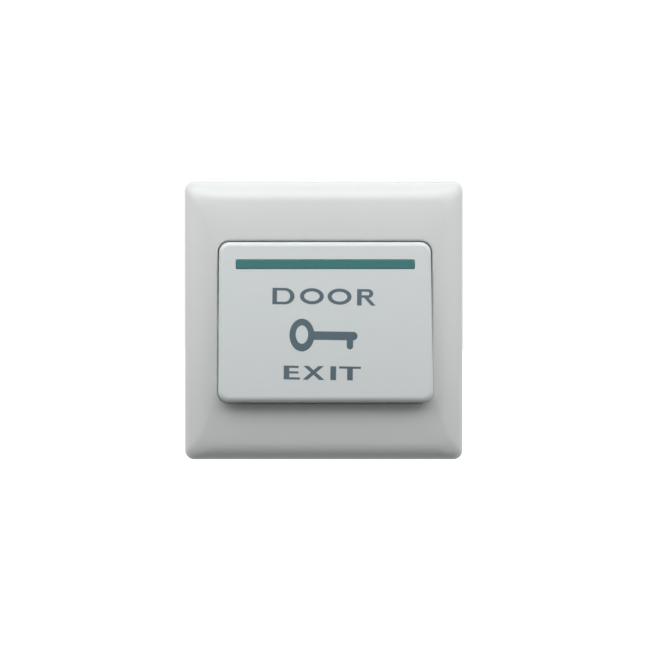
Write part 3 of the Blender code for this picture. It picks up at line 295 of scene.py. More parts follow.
def select_parts(kind, test):
    """In edit mode, select only the points, edges or faces that pass a test."""
    bpy.ops.mesh.select_mode(type=kind)
    bpy.ops.mesh.select_all(action="DESELECT")
    mesh = bpy.context.object.data
    shape = bmesh.from_edit_mesh(mesh)
    shape.normal_update()
    for part in {"VERT": shape.verts, "EDGE": shape.edges, "FACE": shape.faces}[kind]:
        part.select_set(test(part))
    shape.select_flush_mode()
    bmesh.update_edit_mesh(mesh)


def bevel_edges(test, width, steps):
    """In edit mode, round the edges whose two ends pass a test."""
    select_parts("EDGE", lambda line: test(line.verts[0].co, line.verts[1].co))
    bpy.ops.mesh.bevel(offset=width, segments=steps, profile=0.5)


def move_points(obj, test, by):
    """Move the points of a mesh whose place passes a test, in edit mode."""
    edit(obj)
    select_parts("VERT", lambda vert: test(vert.co))
    bpy.ops.transform.translate(value=by)
    leave_edit()


def cut_across(axis, *places):
    """In edit mode, cut the whole mesh's faces along planes across an axis."""
    for place in places:
        point = [0.0, 0.0, 0.0]
        point[axis] = place
        normal = [0.0, 0.0, 0.0]
        normal[axis] = 1.0
        bpy.ops.mesh.select_all(action="SELECT")
        bpy.ops.mesh.bisect(plane_co=point, plane_no=normal)


def split_mesh(obj, place, axis):
    """Cut a mesh's faces in two along a plane across an axis."""
    edit(obj)
    cut_across(axis, place)
    leave_edit()


def settle(name):
    """Name the object that was just added, and apply its place, turn and size."""
    made = bpy.context.object
    made.name = name
    bpy.ops.object.transform_apply(location=True, rotation=True, scale=True)
    return made


def add_block(name, x, front, z):
    """A cuboid between two values each of x, front and z, left in object mode."""
    bpy.ops.object.select_all(action="DESELECT")
    middle = ((x[0] + x[1]) / 2, -(front[0] + front[1]) / 2, (z[0] + z[1]) / 2)
    bpy.ops.mesh.primitive_cube_add(size=1.0, location=middle)
    bpy.context.object.scale = (x[1] - x[0], front[1] - front[0], z[1] - z[0])
    return settle(name)


def add_pair(name, inner, outer, front, z):
    """The same cuboid on the right and on the left of the middle."""
    return [add_block(name, x, front, z) for x in ((inner, outer), (-outer, -inner))]


def add_rod(name, radius, x, z, front, sides=48):
    """A cylinder along the front direction through (x, z), left in object mode."""
    bpy.ops.object.select_all(action="DESELECT")
    bpy.ops.mesh.primitive_cylinder_add(
        vertices=sides,
        radius=radius,
        depth=front[1] - front[0],
        location=(x, -(front[0] + front[1]) / 2, z),
        rotation=(math.pi / 2, 0.0, 0.0),
    )
    return settle(name)


def add_coil(name, radius, thickness, sides, turns, rise, steps):
    """A wire wound round Z, in so many steps to a turn, and closed at both ends."""
    bpy.ops.object.select_all(action="DESELECT")
    bpy.ops.mesh.primitive_circle_add(
        vertices=sides,
        radius=thickness,
        location=(radius, 0.0, 0.0),
        rotation=(math.pi / 2, math.pi / 2, 0.0),
    )
    coil = settle(name)
    wind = coil.modifiers.new("wind", "SCREW")
    wind.axis = "Z"
    wind.angle = 2 * math.pi * turns
    wind.screw_offset = rise
    wind.steps = round(turns * steps)
    wind.render_steps = wind.steps
    bpy.ops.object.modifier_apply(modifier=wind.name)
    edit(coil, whole=True)
    bpy.ops.mesh.fill_holes(sides=0)
    leave_edit()
    return coil


def round_block(block, corner, corner_steps=6, edge=0.0, edge_steps=4, hold=HOLD):
    """Round a cuboid's four corners and, if asked, the rim of its front face."""
    edit(block)
    bevel_edges(
        lambda a, b: abs(a.y - b.y) > abs(a.x - b.x) + abs(a.z - b.z), corner, corner_steps
    )
    if edge:
        near = min(vert.co.y for vert in bmesh.from_edit_mesh(block.data).verts) + MERGE
        bevel_edges(lambda a, b: a.y < near and b.y < near, edge, edge_steps)
        select_parts("FACE", lambda face: face.normal.y < -0.999)
        bpy.ops.mesh.inset(thickness=hold)
    leave_edit()
    return block


def combine(target, tools, operation):
    """Join pieces to a target or cut them out of it, and delete them."""
    choose(target)
    for tool in tools:
        modifier = target.modifiers.new(tool.name, "BOOLEAN")
        modifier.operation = operation
        modifier.solver = "EXACT"
        modifier.object = tool
        bpy.ops.object.modifier_apply(modifier=modifier.name)
        bpy.data.objects.remove(tool, do_unlink=True)


def gather(pieces):
    """Make several objects one mesh."""
    bpy.ops.object.select_all(action="DESELECT")
    for item in pieces:
        item.select_set(True)
    bpy.context.view_layer.objects.active = pieces[0]
    if len(pieces) > 1:
        bpy.ops.object.join()
    return bpy.context.object


def soften(obj, width):
    """Round a piece's sharp edges a little with a bevel modifier."""
    choose(obj)
    bevel = obj.modifiers.new("softened edges", "BEVEL")
    bevel.width = width
    bevel.segments = 2
    bevel.limit_method = "ANGLE"
    bevel.angle_limit = SHARP_ANGLE
    bevel.miter_outer = "MITER_ARC"
    bpy.ops.object.modifier_apply(modifier=bevel.name)


def keep_flats_flat(obj):
    """Let the large faces of a piece set the shading where they meet its rounded edges."""
    choose(obj)
    weigh = obj.modifiers.new("flats", "WEIGHTED_NORMAL")
    weigh.mode = "FACE_AREA"
    weigh.weight = 80
    weigh.keep_sharp = True
    bpy.ops.object.modifier_apply(modifier=weigh.name)


def finish_piece(obj, body, finish, replaced=(), place=None):
    """Merge a piece's points, lay it in place, give it its finish and body, and hide the solids it
    stands for.
    """
    edit(obj, whole=True)
    bpy.ops.mesh.remove_doubles(threshold=MERGE)
    bpy.ops.mesh.normals_make_consistent(inside=False)
    leave_edit()
    if place is not None:
        obj.matrix_world = place @ obj.matrix_world
    bpy.ops.object.transform_apply(location=True, rotation=True, scale=True)
    obj.vertex_groups.clear()
    bpy.ops.object.shade_smooth_by_angle(angle=SMOOTH_ANGLE)
    keep_flats_flat(obj)
    obj.data.materials.clear()
    obj.data.materials.append(make_finish(finish))
    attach(obj, body)
    if replaced:
        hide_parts(*replaced)


# Shader node groups that several finishes share


def set_inputs(node, values):
    for socket, value in values.items():
        node.inputs[socket].default_value = value


def add_node(tree, kind, values=None, **settings):
    """Add a node with its settings and the values of its inputs."""
    node = tree.nodes.new(kind)
    for name, value in settings.items():
        setattr(node, name, value)
    set_inputs(node, values or {})
    return node


def join_nodes(tree, *links):
    """Link nodes: each link is a node, its output, the next node and its input."""
    for source, output, target, entry in links:
        tree.links.new(source.outputs[output], target.inputs[entry])


def start_group(name, inputs, outputs):
    """A node group with its sockets and their kinds, and its two end nodes."""
    group = bpy.data.node_groups.new(name, "ShaderNodeTree")
    for way, sockets in (("INPUT", inputs), ("OUTPUT", outputs)):
        for socket, kind in sockets.items():
            group.interface.new_socket(socket, in_out=way, socket_type=f"NodeSocket{kind}")
    return group, group.nodes.new("NodeGroupInput"), group.nodes.new("NodeGroupOutput")


def object_noise(group, start, detail):
    """A noise on the piece's own coordinates, with its scale from the group's input."""
    place = add_node(group, "ShaderNodeTexCoord")
    noise = add_node(group, "ShaderNodeTexNoise", {"Detail": detail})
    join_nodes(group, (place, "Object", noise, "Vector"), (start, "Scale", noise, "Scale"))
    return noise


def make_tone_drift():
    """A colour that gets a little lighter and darker over the surface."""
    group, start, end = start_group(
        "tone drift", {"Colour": "Color", "Drift": "Float", "Scale": "Float"}, {"Colour": "Color"}
    )
    noise = object_noise(group, start, 3.0)
    spread = add_node(group, "ShaderNodeMath", {1: 0.5}, operation="SUBTRACT")
    scaled = add_node(group, "ShaderNodeMath", {2: 1.0}, operation="MULTIPLY_ADD")
    tone = add_node(group, "ShaderNodeHueSaturation")
    join_nodes(
        group,
        (noise, "Fac", spread, 0),
        (spread, 0, scaled, 0),
        (start, "Drift", scaled, 1),
        (scaled, 0, tone, "Value"),
        (start, "Colour", tone, "Color"),
        (tone, "Color", end, "Colour"),
    )
    return group


def make_moulded_grain():
    """The fine eroded texture of a mould, as a height."""
    group, start, end = start_group("moulded grain", {"Scale": "Float"}, {"Height": "Float"})
    noise = object_noise(group, start, 2.0)
    join_nodes(group, (noise, "Fac", end, "Height"))
    return group


def make_gloss_drift():
    """A roughness that wanders between two values."""
    group, start, end = start_group(
        "gloss drift",
        {"Smoothest": "Float", "Roughest": "Float", "Scale": "Float"},
        {"Roughness": "Float"},
    )
    noise = object_noise(group, start, 4.0)
    spread = add_node(group, "ShaderNodeMapRange", {"From Min": 0.35, "From Max": 0.65})
    join_nodes(
        group,
        (noise, "Fac", spread, "Value"),
        (start, "Smoothest", spread, "To Min"),
        (start, "Roughest", spread, "To Max"),
        (spread, "Result", end, "Roughness"),
    )
    return group


def make_painted_edge_sheen():
    """A mask of the outward edges, where the finish paints a lighter sheen."""
    group, start, end = start_group("edge wear", {"Reach": "Float"}, {"Mask": "Float"})
    flat = 0.52  # pointiness up to which a surface counts as flat
    geometry = add_node(group, "ShaderNodeNewGeometry")
    top = add_node(group, "ShaderNodeMath", {1: flat}, operation="ADD")
    spread = add_node(group, "ShaderNodeMapRange", {"From Min": flat})
    join_nodes(
        group,
        (start, "Reach", top, 0),
        (geometry, "Pointiness", spread, "Value"),
        (top, 0, spread, "From Max"),
        (spread, "Result", end, "Mask"),
    )
    return group


def make_brushed_grain():
    """Fine lines along X, as left by rolling or brushing a sheet of metal."""
    group, start, end = start_group("brushed grain", {"Scale": "Float"}, {"Height": "Float"})
    place = add_node(group, "ShaderNodeTexCoord")
    stretch = add_node(group, "ShaderNodeMapping", {"Scale": (0.08, 1.0, 1.0)})
    noise = add_node(group, "ShaderNodeTexNoise", {"Detail": 3.0})
    join_nodes(
        group,
        (place, "Object", stretch, "Vector"),
        (stretch, "Vector", noise, "Vector"),
        (start, "Scale", noise, "Scale"),
        (noise, "Fac", end, "Height"),
    )
    return group


SHARED = {
    "tone drift": make_tone_drift,
    "moulded grain": make_moulded_grain,
    "gloss drift": make_gloss_drift,
    "edge wear": make_painted_edge_sheen,
    "brushed grain": make_brushed_grain,
}


def place_group(material, name, **values):
    """Put a shared group, made when it is first asked for, into a material."""
    group = bpy.data.node_groups.get(name) or SHARED[name]()
    return add_node(material.node_tree, "ShaderNodeGroup", values, node_tree=group)


# Finishes: slot, colour, smoothest and roughest gloss, drift of the tone, strength of the
# relief, and what differs from plain moulded plastic

# The edge lift lightens the colour on outward edges: a painted sheen.
PLASTIC = {
    "metallic": 0.0,
    "ior": 1.5,
    "texture": "moulded grain",
    "texture_scale": 9000.0,
    "edge_lift": 0.0,
}
ROLLED = {"metallic": 1.0, "texture": "brushed grain", "texture_scale": 2500.0, "edge_lift": 0.15}
COARSE = {"texture_scale": 6000.0}
COARSEST = {"texture_scale": 4000.0}
HARD_BLACK = {"texture_scale": 5000.0, "edge_lift": 0.8}
SILVER = {"metallic": 1.0, "edge_lift": 0.1}
PLATED = {"metallic": 1.0, "texture_scale": 3000.0, "edge_lift": 0.2}
FINISHES = {
    "glossy_frame_plastic": ("frame_white", "frame", 0.28, 0.34, 0.02, 0.15, {"edge_lift": 0.02}),
    "satin_paddle_plastic": ("paddle_white", "paddle", 0.48, 0.56, 0.02, 0.15, {"ior": 1.3}),
    "green_strip_plastic": ("strip_green", "strip", 0.28, 0.36, 0.05, 0.15, {"edge_lift": 0.2}),
    "dark_print": ("housing_black", "print", 0.45, 0.60, 0.10, 0.4, COARSEST),
    "matt_inner_plastic": ("carrier_white", "inner", 0.42, 0.52, 0.03, 0.3, {}),
    "matt_plate_plastic": ("plate_white", "plate", 0.42, 0.54, 0.03, 0.4, COARSE),
    "black_housing_plastic": ("housing_black", "housing", 0.40, 0.55, 0.15, 0.8, HARD_BLACK),
    "brushed_brass": ("brass", "brass", 0.22, 0.36, 0.08, 0.6, ROLLED),
    "spring_bronze": ("bronze", "bronze", 0.25, 0.38, 0.08, 0.6, ROLLED),
    "polished_contact_silver": ("contact_silver", "silver", 0.18, 0.30, 0.05, 0.4, SILVER),
    "zinc_plated_steel": ("zinc_steel", "steel", 0.22, 0.40, 0.10, 0.5, PLATED),
}
TONE_SCALE = 35.0
GLOSS_SCALE = 70.0
# Reach of the painted sheen along outward edges.
SHEEN_REACH = 0.08
RELIEF_DEPTH = 0.01 * MM


def make_finish(name):
    """A surface finish: drifting tone and gloss, a fine relief and outward edges lightened as a
    painted sheen.
    """
    made = bpy.data.materials.get(name)
    if made:
        return made
    made = bpy.data.materials.new(name)
    made.use_nodes = True
    tree = made.node_tree
    colour_name, smoothest, roughest, drift, relief, special = FINISHES[name][1:]
    look = {**PLASTIC, **special}
    tint = getattr(bpy.context.scene.finish_colours, colour_name)
    # The outward edges get a lighter copy of the colour, as a painted sheen.
    sheen_tint = (*(min(1.0, part * (1.0 + look["edge_lift"])) for part in tint), 1.0)
    shader = tree.nodes["Principled BSDF"]
    set_inputs(shader, {"Metallic": look["metallic"], "IOR": look["ior"]})
    tone = place_group(made, "tone drift", Colour=(*tint, 1.0), Drift=drift, Scale=TONE_SCALE)
    gloss = place_group(
        made, "gloss drift", Smoothest=smoothest, Roughest=roughest, Scale=GLOSS_SCALE
    )
    sheen_mask = place_group(made, "edge wear", Reach=SHEEN_REACH)
    lift = add_node(tree, "ShaderNodeMix", {"B": sheen_tint}, data_type="RGBA")
    height = place_group(made, look["texture"], Scale=look["texture_scale"])
    bump = add_node(tree, "ShaderNodeBump", {"Strength": relief, "Distance": RELIEF_DEPTH})
    join_nodes(
        tree,
        (sheen_mask, "Mask", lift, "Factor"),
        (tone, "Colour", lift, "A"),
        (lift, "Result", shader, "Base Color"),
        (gloss, "Roughness", shader, "Roughness"),
        (height, "Height", bump, "Height"),
        (bump, "Normal", shader, "Normal"),
    )
    return made


# Trim frame


CORNER_STEPS = 16
BULLNOSE_STEPS = 22
CROWN_STEPS = 10
RIM_STEPS = 8
UNDERSIDE_STEPS = 8
WELL_LEAN = MM / 50  # keeps the two outlines of the well's lower edge out of one plane
CORNER_ROOM = 0.6 * MM  # from the rim's corners to the flat stretches beside them
BARB_STEP = MM / 20  # how far a barb's tip stays back from its hook's tip


def add_ring(half_x, half_z, corner, front, middle_z=0.0):
    """In edit mode, add a rounded rectangle of edges in a vertex group of its own."""
    middle = (0.0, -front, middle_z)
    bpy.ops.mesh.select_all(action="DESELECT")
    bpy.ops.mesh.primitive_plane_add(size=2.0, location=middle, rotation=(math.pi / 2, 0.0, 0.0))
    bpy.ops.transform.resize(value=(half_x, 1.0, half_z), center_override=middle)
    bpy.ops.mesh.bevel(
        offset=corner, segments=CORNER_STEPS, affect="VERTICES", clamp_overlap=False
    )
    bpy.ops.object.vertex_group_assign_new()
    bpy.ops.mesh.delete(type="ONLY_FACE")


def start_rings(name):
    """An empty mesh in edit mode, to add rings to."""
    bpy.ops.object.select_all(action="DESELECT")
    bpy.ops.mesh.primitive_plane_add(size=PLATE_HALF)
    made = bpy.context.object
    made.name = name
    edit(made, whole=True)
    bpy.ops.mesh.delete(type="VERT")
    return made


def bridge_rings(mesh_object, closed):
    """In edit mode, skin each ring to the next one, and close or cap the two ends."""
    count = len(mesh_object.vertex_groups)
    for number in range(count if closed else count - 1):
        bpy.ops.mesh.select_all(action="DESELECT")
        for group in (number, (number + 1) % count):
            mesh_object.vertex_groups.active_index = group
            bpy.ops.object.vertex_group_select()
        bpy.ops.mesh.bridge_edge_loops()
    bpy.ops.mesh.select_all(action="SELECT")
    bpy.ops.mesh.fill_holes(sides=0)
    bpy.ops.mesh.normals_make_consistent(inside=False)


def side_run(sizes, front, inset):
    """How far in from the side edge the frame's front reaches a height."""
    border = PLATE_HALF - opening_half(sizes)[0] - sizes.rim_side
    reach = border / (1 - math.cos(sizes.side_end)) - inset
    rise = (RIM_FRONT - sizes.land) / math.sin(sizes.side_end) - inset
    return reach * (1 - math.sqrt(1 - ((front - sizes.land) / rise) ** 2))


def opening_half(sizes):
    """Half the width and half the height of the opening."""
    return PADDLE_HIGH.x + sizes.side_gap, PADDLE_HIGH.z + sizes.end_gap


def bullnose_rings(sizes, inset, first_corner, last_corner, steps):
    """Outlines of the rounded edge: half width, half height, corner and front."""
    reach = sizes.bullnose_width / (1 - math.cos(sizes.bullnose_end)) - inset
    rise = (sizes.bullnose_top - sizes.land) / math.sin(sizes.bullnose_end) - inset
    half = PLATE_HALF - inset
    rings = []
    for step in range(steps + 1):
        part = step / steps
        slope = sizes.bullnose_end * part
        front = sizes.land + rise * math.sin(slope)
        half_z = half - reach * (1 - math.cos(slope))
        corner = first_corner + (last_corner - first_corner) * part
        rings.append((half - side_run(sizes, front, inset), half_z, corner, front))
    return rings


def crown_rings(sizes, corner):
    """Outlines of the gentle slope between the bullnose and the rim."""
    outer = PLATE_HALF - sizes.bullnose_width
    inner = opening_half(sizes)[1] + sizes.rim
    rings = []
    for step in range(1, CROWN_STEPS + 1):
        part = step / CROWN_STEPS
        climb = sizes.crown_ease * part - (sizes.crown_ease - 1) * part**2
        front = sizes.bullnose_top + (RIM_FRONT - sizes.bullnose_top) * climb
        half_z = outer + (inner - outer) * part
        rings.append((PLATE_HALF - side_run(sizes, front, 0.0), half_z, corner, front))
    return rings


def well_rings(sizes, corner):
    """Outlines of the rim's rounding, the well and the back of the well's wall."""
    half_x, half_z = opening_half(sizes)
    rings = []
    for step in range(1, RIM_STEPS + 1):
        turn = math.pi / 2 * step / RIM_STEPS
        out = 1 - math.sin(turn)
        front = RIM_FRONT - sizes.rim * (1 - math.cos(turn))
        outline = (half_x + sizes.rim_side * out, half_z + sizes.rim * out)
        rings.append((*outline, corner + sizes.rim * out, front))
    rings.append((half_x, half_z, corner, sizes.well_back))
    wall = sizes.well_wall
    for front in (sizes.well_back + WELL_LEAN, RIM_FRONT - sizes.wall):
        rings.append((half_x + wall, half_z + wall, corner + wall, front))
    return rings


def frame_outlines(sizes):
    """All the frame's outlines, from the edge at the wall round to the inside of the edge."""
    opening_corner = bpy.context.scene.paddle_sizes.corner + sizes.side_gap
    face_corner = opening_corner + sizes.rim
    inner_half = PLATE_HALF - sizes.wall
    underside = bullnose_rings(
        sizes, sizes.wall, sizes.inner_corner, opening_corner + sizes.well_wall, UNDERSIDE_STEPS
    )
    return [
        (PLATE_HALF, PLATE_HALF, sizes.corner, 0.0),
        *bullnose_rings(sizes, 0.0, sizes.corner, face_corner, BULLNOSE_STEPS),
        *crown_rings(sizes, face_corner),
        *well_rings(sizes, opening_corner),
        *reversed(underside),
        (inner_half, inner_half, sizes.inner_corner, 0.0),
    ]


def lean_rib(rib, axis, side, sizes):
    """Lower a rib's outer end to the bullnose and raise its inner end to the crown."""
    shoulder = side * (PLATE_HALF - sizes.bullnose_width)
    top = -(sizes.bullnose_top - sizes.wall / 2) + HAIR
    split_mesh(rib, shoulder, axis)
    fall = sizes.bullnose_top - sizes.wall / 2 - sizes.land - sizes.wall
    climb = RIM_FRONT - sizes.bullnose_top
    outside = abs(shoulder) + BITE
    inside = abs(shoulder) - BITE
    move_points(rib, lambda co: co.y < top and abs(co[axis]) > outside, (0.0, fall, 0.0))
    move_points(rib, lambda co: co.y < top and abs(co[axis]) < inside, (0.0, -climb, 0.0))
    return rib


def frame_ribs(sizes):
    """Four pairs of stiffening ribs under the frame's face."""
    half_x, half_z = opening_half(sizes)
    outer = PLATE_HALF - 0.9 * sizes.wall
    fronts = (sizes.well_back, sizes.bullnose_top - sizes.wall / 2)
    made = []
    for place in (sizes.rib_place, -sizes.rib_place):
        across = span(place, sizes.rib / 2)
        for side in (1, -1):
            along_x = sorted((side * (half_x + sizes.well_wall / 2), side * outer))
            along_z = sorted((side * (half_z + sizes.well_wall / 2), side * outer))
            made.append(lean_rib(add_block("rib", across, fronts, along_z), 2, side, sizes))
            made.append(lean_rib(add_block("rib", along_x, fronts, across), 0, side, sizes))
    return made


def frame_hooks(sizes):
    """Four hooks that reach through the mounting plate and catch behind its ledges."""
    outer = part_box("mounting_plate")[1].x - sizes.hook_edge
    inner = outer - sizes.hook_thickness
    tip = sizes.hook_tip + BARB_STEP
    middle = (sizes.hook_barb + tip) / 2
    made = []
    for place in (sizes.hook_place, -sizes.hook_place):
        half = sizes.hook_width / 2
        across = span(place, half)
        barb_x = span(place, half - BITE)
        for side in (1, -1):
            fronts = (sizes.hook_tip, sizes.bullnose_top - sizes.wall)
            stem = sorted((side * inner, side * outer))
            made.append(add_block("hook", across, fronts, stem))
            barb_z = sorted((side * (inner - sizes.hook_catch), side * (inner + BITE)))
            barb = add_block("barb", barb_x, (tip, sizes.hook_barb), barb_z)
            split_mesh(barb, -middle, 1)
            reach = inner - BITE
            slope = (0.0, 0.0, side * sizes.hook_catch)
            move_points(barb, lambda co: co.y > -tip - HAIR and abs(co.z) < reach, slope)
            made.append(barb)
    return made


def guide_ribs(sizes):
    """A rib in each side of the well that keeps the paddle in the middle."""
    inner = PADDLE_HIGH.x + sizes.guide_gap
    outer = opening_half(sizes)[0] + sizes.well_wall / 2
    fronts = (bpy.context.scene.paddle_sizes.relief_front + CLEARANCE, RIM_FRONT - sizes.rim)
    return add_pair("guide", inner, outer, fronts, span(0.0, sizes.guide_rib / 2))


def frame_cuts(sizes):
    """Room in the well for the wall screws, and the notch for prying the frame off."""
    paddle = bpy.context.scene.paddle_sizes
    half_x = opening_half(sizes)[0]
    reliefs = add_pair(
        "relief",
        half_x - BEYOND,
        half_x + sizes.well_wall + BEYOND,
        (sizes.well_back - BEYOND, paddle.relief_front),
        span(0.0, paddle.relief),
    )
    notch = add_block(
        "notch",
        span(0.0, sizes.notch / 2),
        (-BEYOND, sizes.notch_height),
        (-PLATE_HALF - BEYOND, sizes.wall + BEYOND - PLATE_HALF),
    )
    return [*reliefs, notch]


class EXITBUTTON_OT_trim_frame(Operator):
    """Model the square trim frame with its bullnose edge, crown and well"""

    bl_idname = "exitbutton.trim_frame"
    bl_label = "Trim frame"

    def execute(self, context):
        sizes = context.scene.trim_frame_sizes
        shell = start_rings("frame_shell")
        for outline in frame_outlines(sizes):
            add_ring(*outline)
        bridge_rings(shell, closed=True)
        half_x, half_z = opening_half(sizes)
        corner = context.scene.paddle_sizes.corner + sizes.side_gap + sizes.rim + CORNER_ROOM
        cut_across(0, half_x - corner, corner - half_x)
        cut_across(2, half_z - corner, corner - half_z)
        leave_edit()
        combine(shell, [*frame_ribs(sizes), *frame_hooks(sizes), *guide_ribs(sizes)], "UNION")
        combine(shell, frame_cuts(sizes), "DIFFERENCE")
        finish_piece(shell, "base", "glossy_frame_plastic", ["trim_frame"])
        return {"FINISHED"}


# Paddle


PADDLE_EDGE_STEPS = 12
HOLLOW_EDGE = 0.6 * MM
CLIP_WALL_END = 0.2 * MM  # front of the rocker's axis
WINDOW_RECESS = 0.15 * MM
WINDOW_TOP = 0.5 * MM  # from a window to the inside of the face


def inside_front(sizes):
    return FACE_FRONT - sizes.face_wall


def paddle_outlines(sizes):
    """Outlines of the paddle from its skirt's end to its face, with a rounding between them."""
    outlines = [(PADDLE_HIGH.x, PADDLE_HIGH.z, sizes.corner, SKIRT_END, 0.0)]
    for step in range(PADDLE_EDGE_STEPS + 1):
        turn = math.pi / 2 * step / PADDLE_EDGE_STEPS
        inset = 1 - math.cos(turn)
        top = PADDLE_HIGH.z - sizes.edge_top * inset
        bottom = PADDLE_LOW.z + sizes.edge_bottom * inset
        outlines.append(
            (
                PADDLE_HIGH.x - sizes.edge_side * inset,
                (top - bottom) / 2,
                sizes.corner - sizes.edge_side * inset,
                FACE_FRONT - sizes.edge * (1 - math.sin(turn)),
                (top + bottom) / 2,
            )
        )
    return outlines


def paddle_ribs(sizes):
    """Upright ribs behind the face, and the two walls that the carrier snaps into."""
    inside = inside_front(sizes)
    wall_end = sizes.clip_place + sizes.clip_wall
    rib_x = span((wall_end + PADDLE_HIGH.x - sizes.skirt_wall) / 2, sizes.rib / 2)
    rib_fronts = (inside - sizes.rib_depth, inside + SUNK)
    rib_z = (PADDLE_LOW.z + sizes.skirt_wall - SUNK, STRIP_LOW.z - CLEARANCE)
    clip_fronts = (CLIP_WALL_END, inside + SUNK)
    clip_z = span(0.0, sizes.clip_half)
    return [
        *add_pair("rib", *rib_x, rib_fronts, rib_z),
        *add_pair("clip_wall", sizes.clip_place, wall_end, clip_fronts, clip_z),
    ]


def clip_windows(sizes):
    """The windows that the carrier's lugs snap into."""
    inner = sizes.clip_place - WINDOW_RECESS
    outer = sizes.clip_place + sizes.clip_wall + BEYOND
    front = inside_front(sizes) - WINDOW_TOP
    fronts = (front - sizes.window_depth, front)
    made = []
    for place in (sizes.window_place, -sizes.window_place):
        made += add_pair("window", inner, outer, fronts, span(place, sizes.window_half))
    return made


def stake_place(strip, sizes):
    """Distance of the heat stakes from the middle, between the strip and the skirt."""
    return (2 * PADDLE_HIGH.x - strip.margin - sizes.skirt_wall) / 2


def paddle_stakes(sizes, strip):
    """The two heat stakes that hold the strip."""
    inside = inside_front(sizes)
    fronts = (inside - sizes.stake_length, inside + SUNK)
    place = stake_place(strip, sizes)
    return [add_rod("stake", sizes.stake, x, strip_middle(), fronts) for x in (place, -place)]


def skirt_arches(sizes):
    """Arches in the side skirts over the heads of the wall screws."""
    inner = PADDLE_HIGH.x - sizes.skirt_wall - BEYOND
    fronts = (SKIRT_END - BEYOND, sizes.relief_front + PIVOT.y + CLEARANCE)
    return add_pair("arch", inner, PADDLE_HIGH.x + BEYOND, fronts, span(0.0, sizes.relief))


def paddle_hollow(sizes):
    """The room inside the skirt and behind the face."""
    wall = sizes.skirt_wall
    hollow = add_block(
        "hollow",
        (PADDLE_LOW.x + wall, PADDLE_HIGH.x - wall),
        (SKIRT_END - BEYOND, inside_front(sizes)),
        (PADDLE_LOW.z + wall, PADDLE_HIGH.z - wall),
    )
    return round_block(hollow, sizes.corner - wall, 8, HOLLOW_EDGE)


def strip_slot(sizes, strip):
    """The slot through the face that the strip fills."""
    slot = add_block(
        "slot",
        span(0.0, PADDLE_HIGH.x - strip.margin + strip.gap),
        (inside_front(sizes) - BEYOND, FACE_FRONT + BEYOND),
        span(strip_middle(), strip.height / 2 + strip.gap),
    )
    return round_block(slot, strip.corner + strip.gap)


class EXITBUTTON_OT_paddle(Operator):
    """Model the rocker's wide face with its skirt and the slot for the strip"""

    bl_idname = "exitbutton.paddle"
    bl_label = "Paddle"

    def execute(self, context):
        sizes = context.scene.paddle_sizes
        strip = context.scene.strip_sizes
        shell = start_rings("paddle_shell")
        for outline in paddle_outlines(sizes):
            add_ring(*outline)
        bridge_rings(shell, closed=False)
        leave_edit()
        combine(shell, [paddle_hollow(sizes)], "DIFFERENCE")
        combine(shell, paddle_ribs(sizes), "UNION")
        combine(shell, [strip_slot(sizes, strip), *clip_windows(sizes)], "DIFFERENCE")
        combine(shell, paddle_stakes(sizes, strip), "UNION")
        combine(shell, skirt_arches(sizes), "DIFFERENCE")
        finish_piece(shell, "rocker", "satin_paddle_plastic", ["paddle"], ROCKER)
        return {"FINISHED"}


# Strip


FLANGE_CORNER = MM
STRIP_HOLD = 0.02 * MM


def strip_middle():
    return (STRIP_LOW.z + STRIP_HIGH.z) / 2 + bpy.context.scene.strip_sizes.lift


class EXITBUTTON_OT_indicator_strip(Operator):
    """Model the coloured strip that is let into the paddle"""

    bl_idname = "exitbutton.indicator_strip"
    bl_label = "Indicator strip"

    def execute(self, context):
        sizes = context.scene.strip_sizes
        paddle = context.scene.paddle_sizes
        middle = strip_middle()
        back = -STRIP_HIGH.y
        bar = add_block(
            "strip_bar",
            span(0.0, PADDLE_HIGH.x - sizes.margin),
            (back + sizes.flange / 2, -STRIP_LOW.y),
            span(middle, sizes.height / 2),
        )
        round_block(bar, sizes.corner, edge=sizes.edge, edge_steps=3, hold=STRIP_HOLD)
        flange = add_block(
            "flange",
            (STRIP_LOW.x, STRIP_HIGH.x),
            (back, back + sizes.flange),
            (STRIP_LOW.z, STRIP_HIGH.z),
        )
        combine(bar, [round_block(flange, FLANGE_CORNER)], "UNION")
        place = stake_place(sizes, paddle)
        fronts = (back - BEYOND, back + sizes.flange + BEYOND)
        radius = paddle.stake + CLEARANCE
        holes = [add_rod("hole", radius, x, middle, fronts) for x in (place, -place)]
        combine(bar, holes, "DIFFERENCE")
        finish_piece(bar, "rocker", "green_strip_plastic", ["indicator_strip"], ROCKER)
        return {"FINISHED"}


# Signs printed on the paddle

UPPER_WORD = millimetres(-0.58, 7.52)
LOWER_WORD = millimetres(-1.10, -15.24)
UPPER_LEFTS = millimetres(-15.97, -7.69, 0.64, 9.52)
LOWER_LEFTS = millimetres(-12.62, -7.0, 1.36, 3.96)
D_BOWL = millimetres(3.75, 2.90)
O_HALF = millimetres(3.6, 2.42)
O_HOLE_HALF = millimetres(2.33, 1.47)
O_LIFT = 0.1 * MM
R_BOWL = millimetres(3.40, 1.45)
R_BOWL_HEIGHT = 2.62 * MM
R_BOWL_STROKE = 0.85  # share of the upright's width
R_LEG = millimetres(1.8, 4.3)
R_WIDTH = 5.6 * MM
E_ARMS = millimetres(4.45, 4.40, 4.88)
E_LIFT = 0.05 * MM
X_WIDTH = 6.6 * MM
X_STROKE = 1.6 * MM
X_INSET = 0.25 * MM
T_WIDTH = 6.5 * MM
KEY_PLACE = millimetres(-0.3, -4.1)
BOW_MIDDLE = millimetres(-7.13, -4.05)
BOW_HALF = millimetres(3.73, 4.88)
BOW_HOLE = millimetres(-7.13, -3.90)
BOW_HOLE_HALF = millimetres(1.85, 2.74)
SHAFT = millimetres(-4.2, 9.55)
SHAFT_MIDDLE = -4.13 * MM
SHAFT_HALF = 1.27 * MM
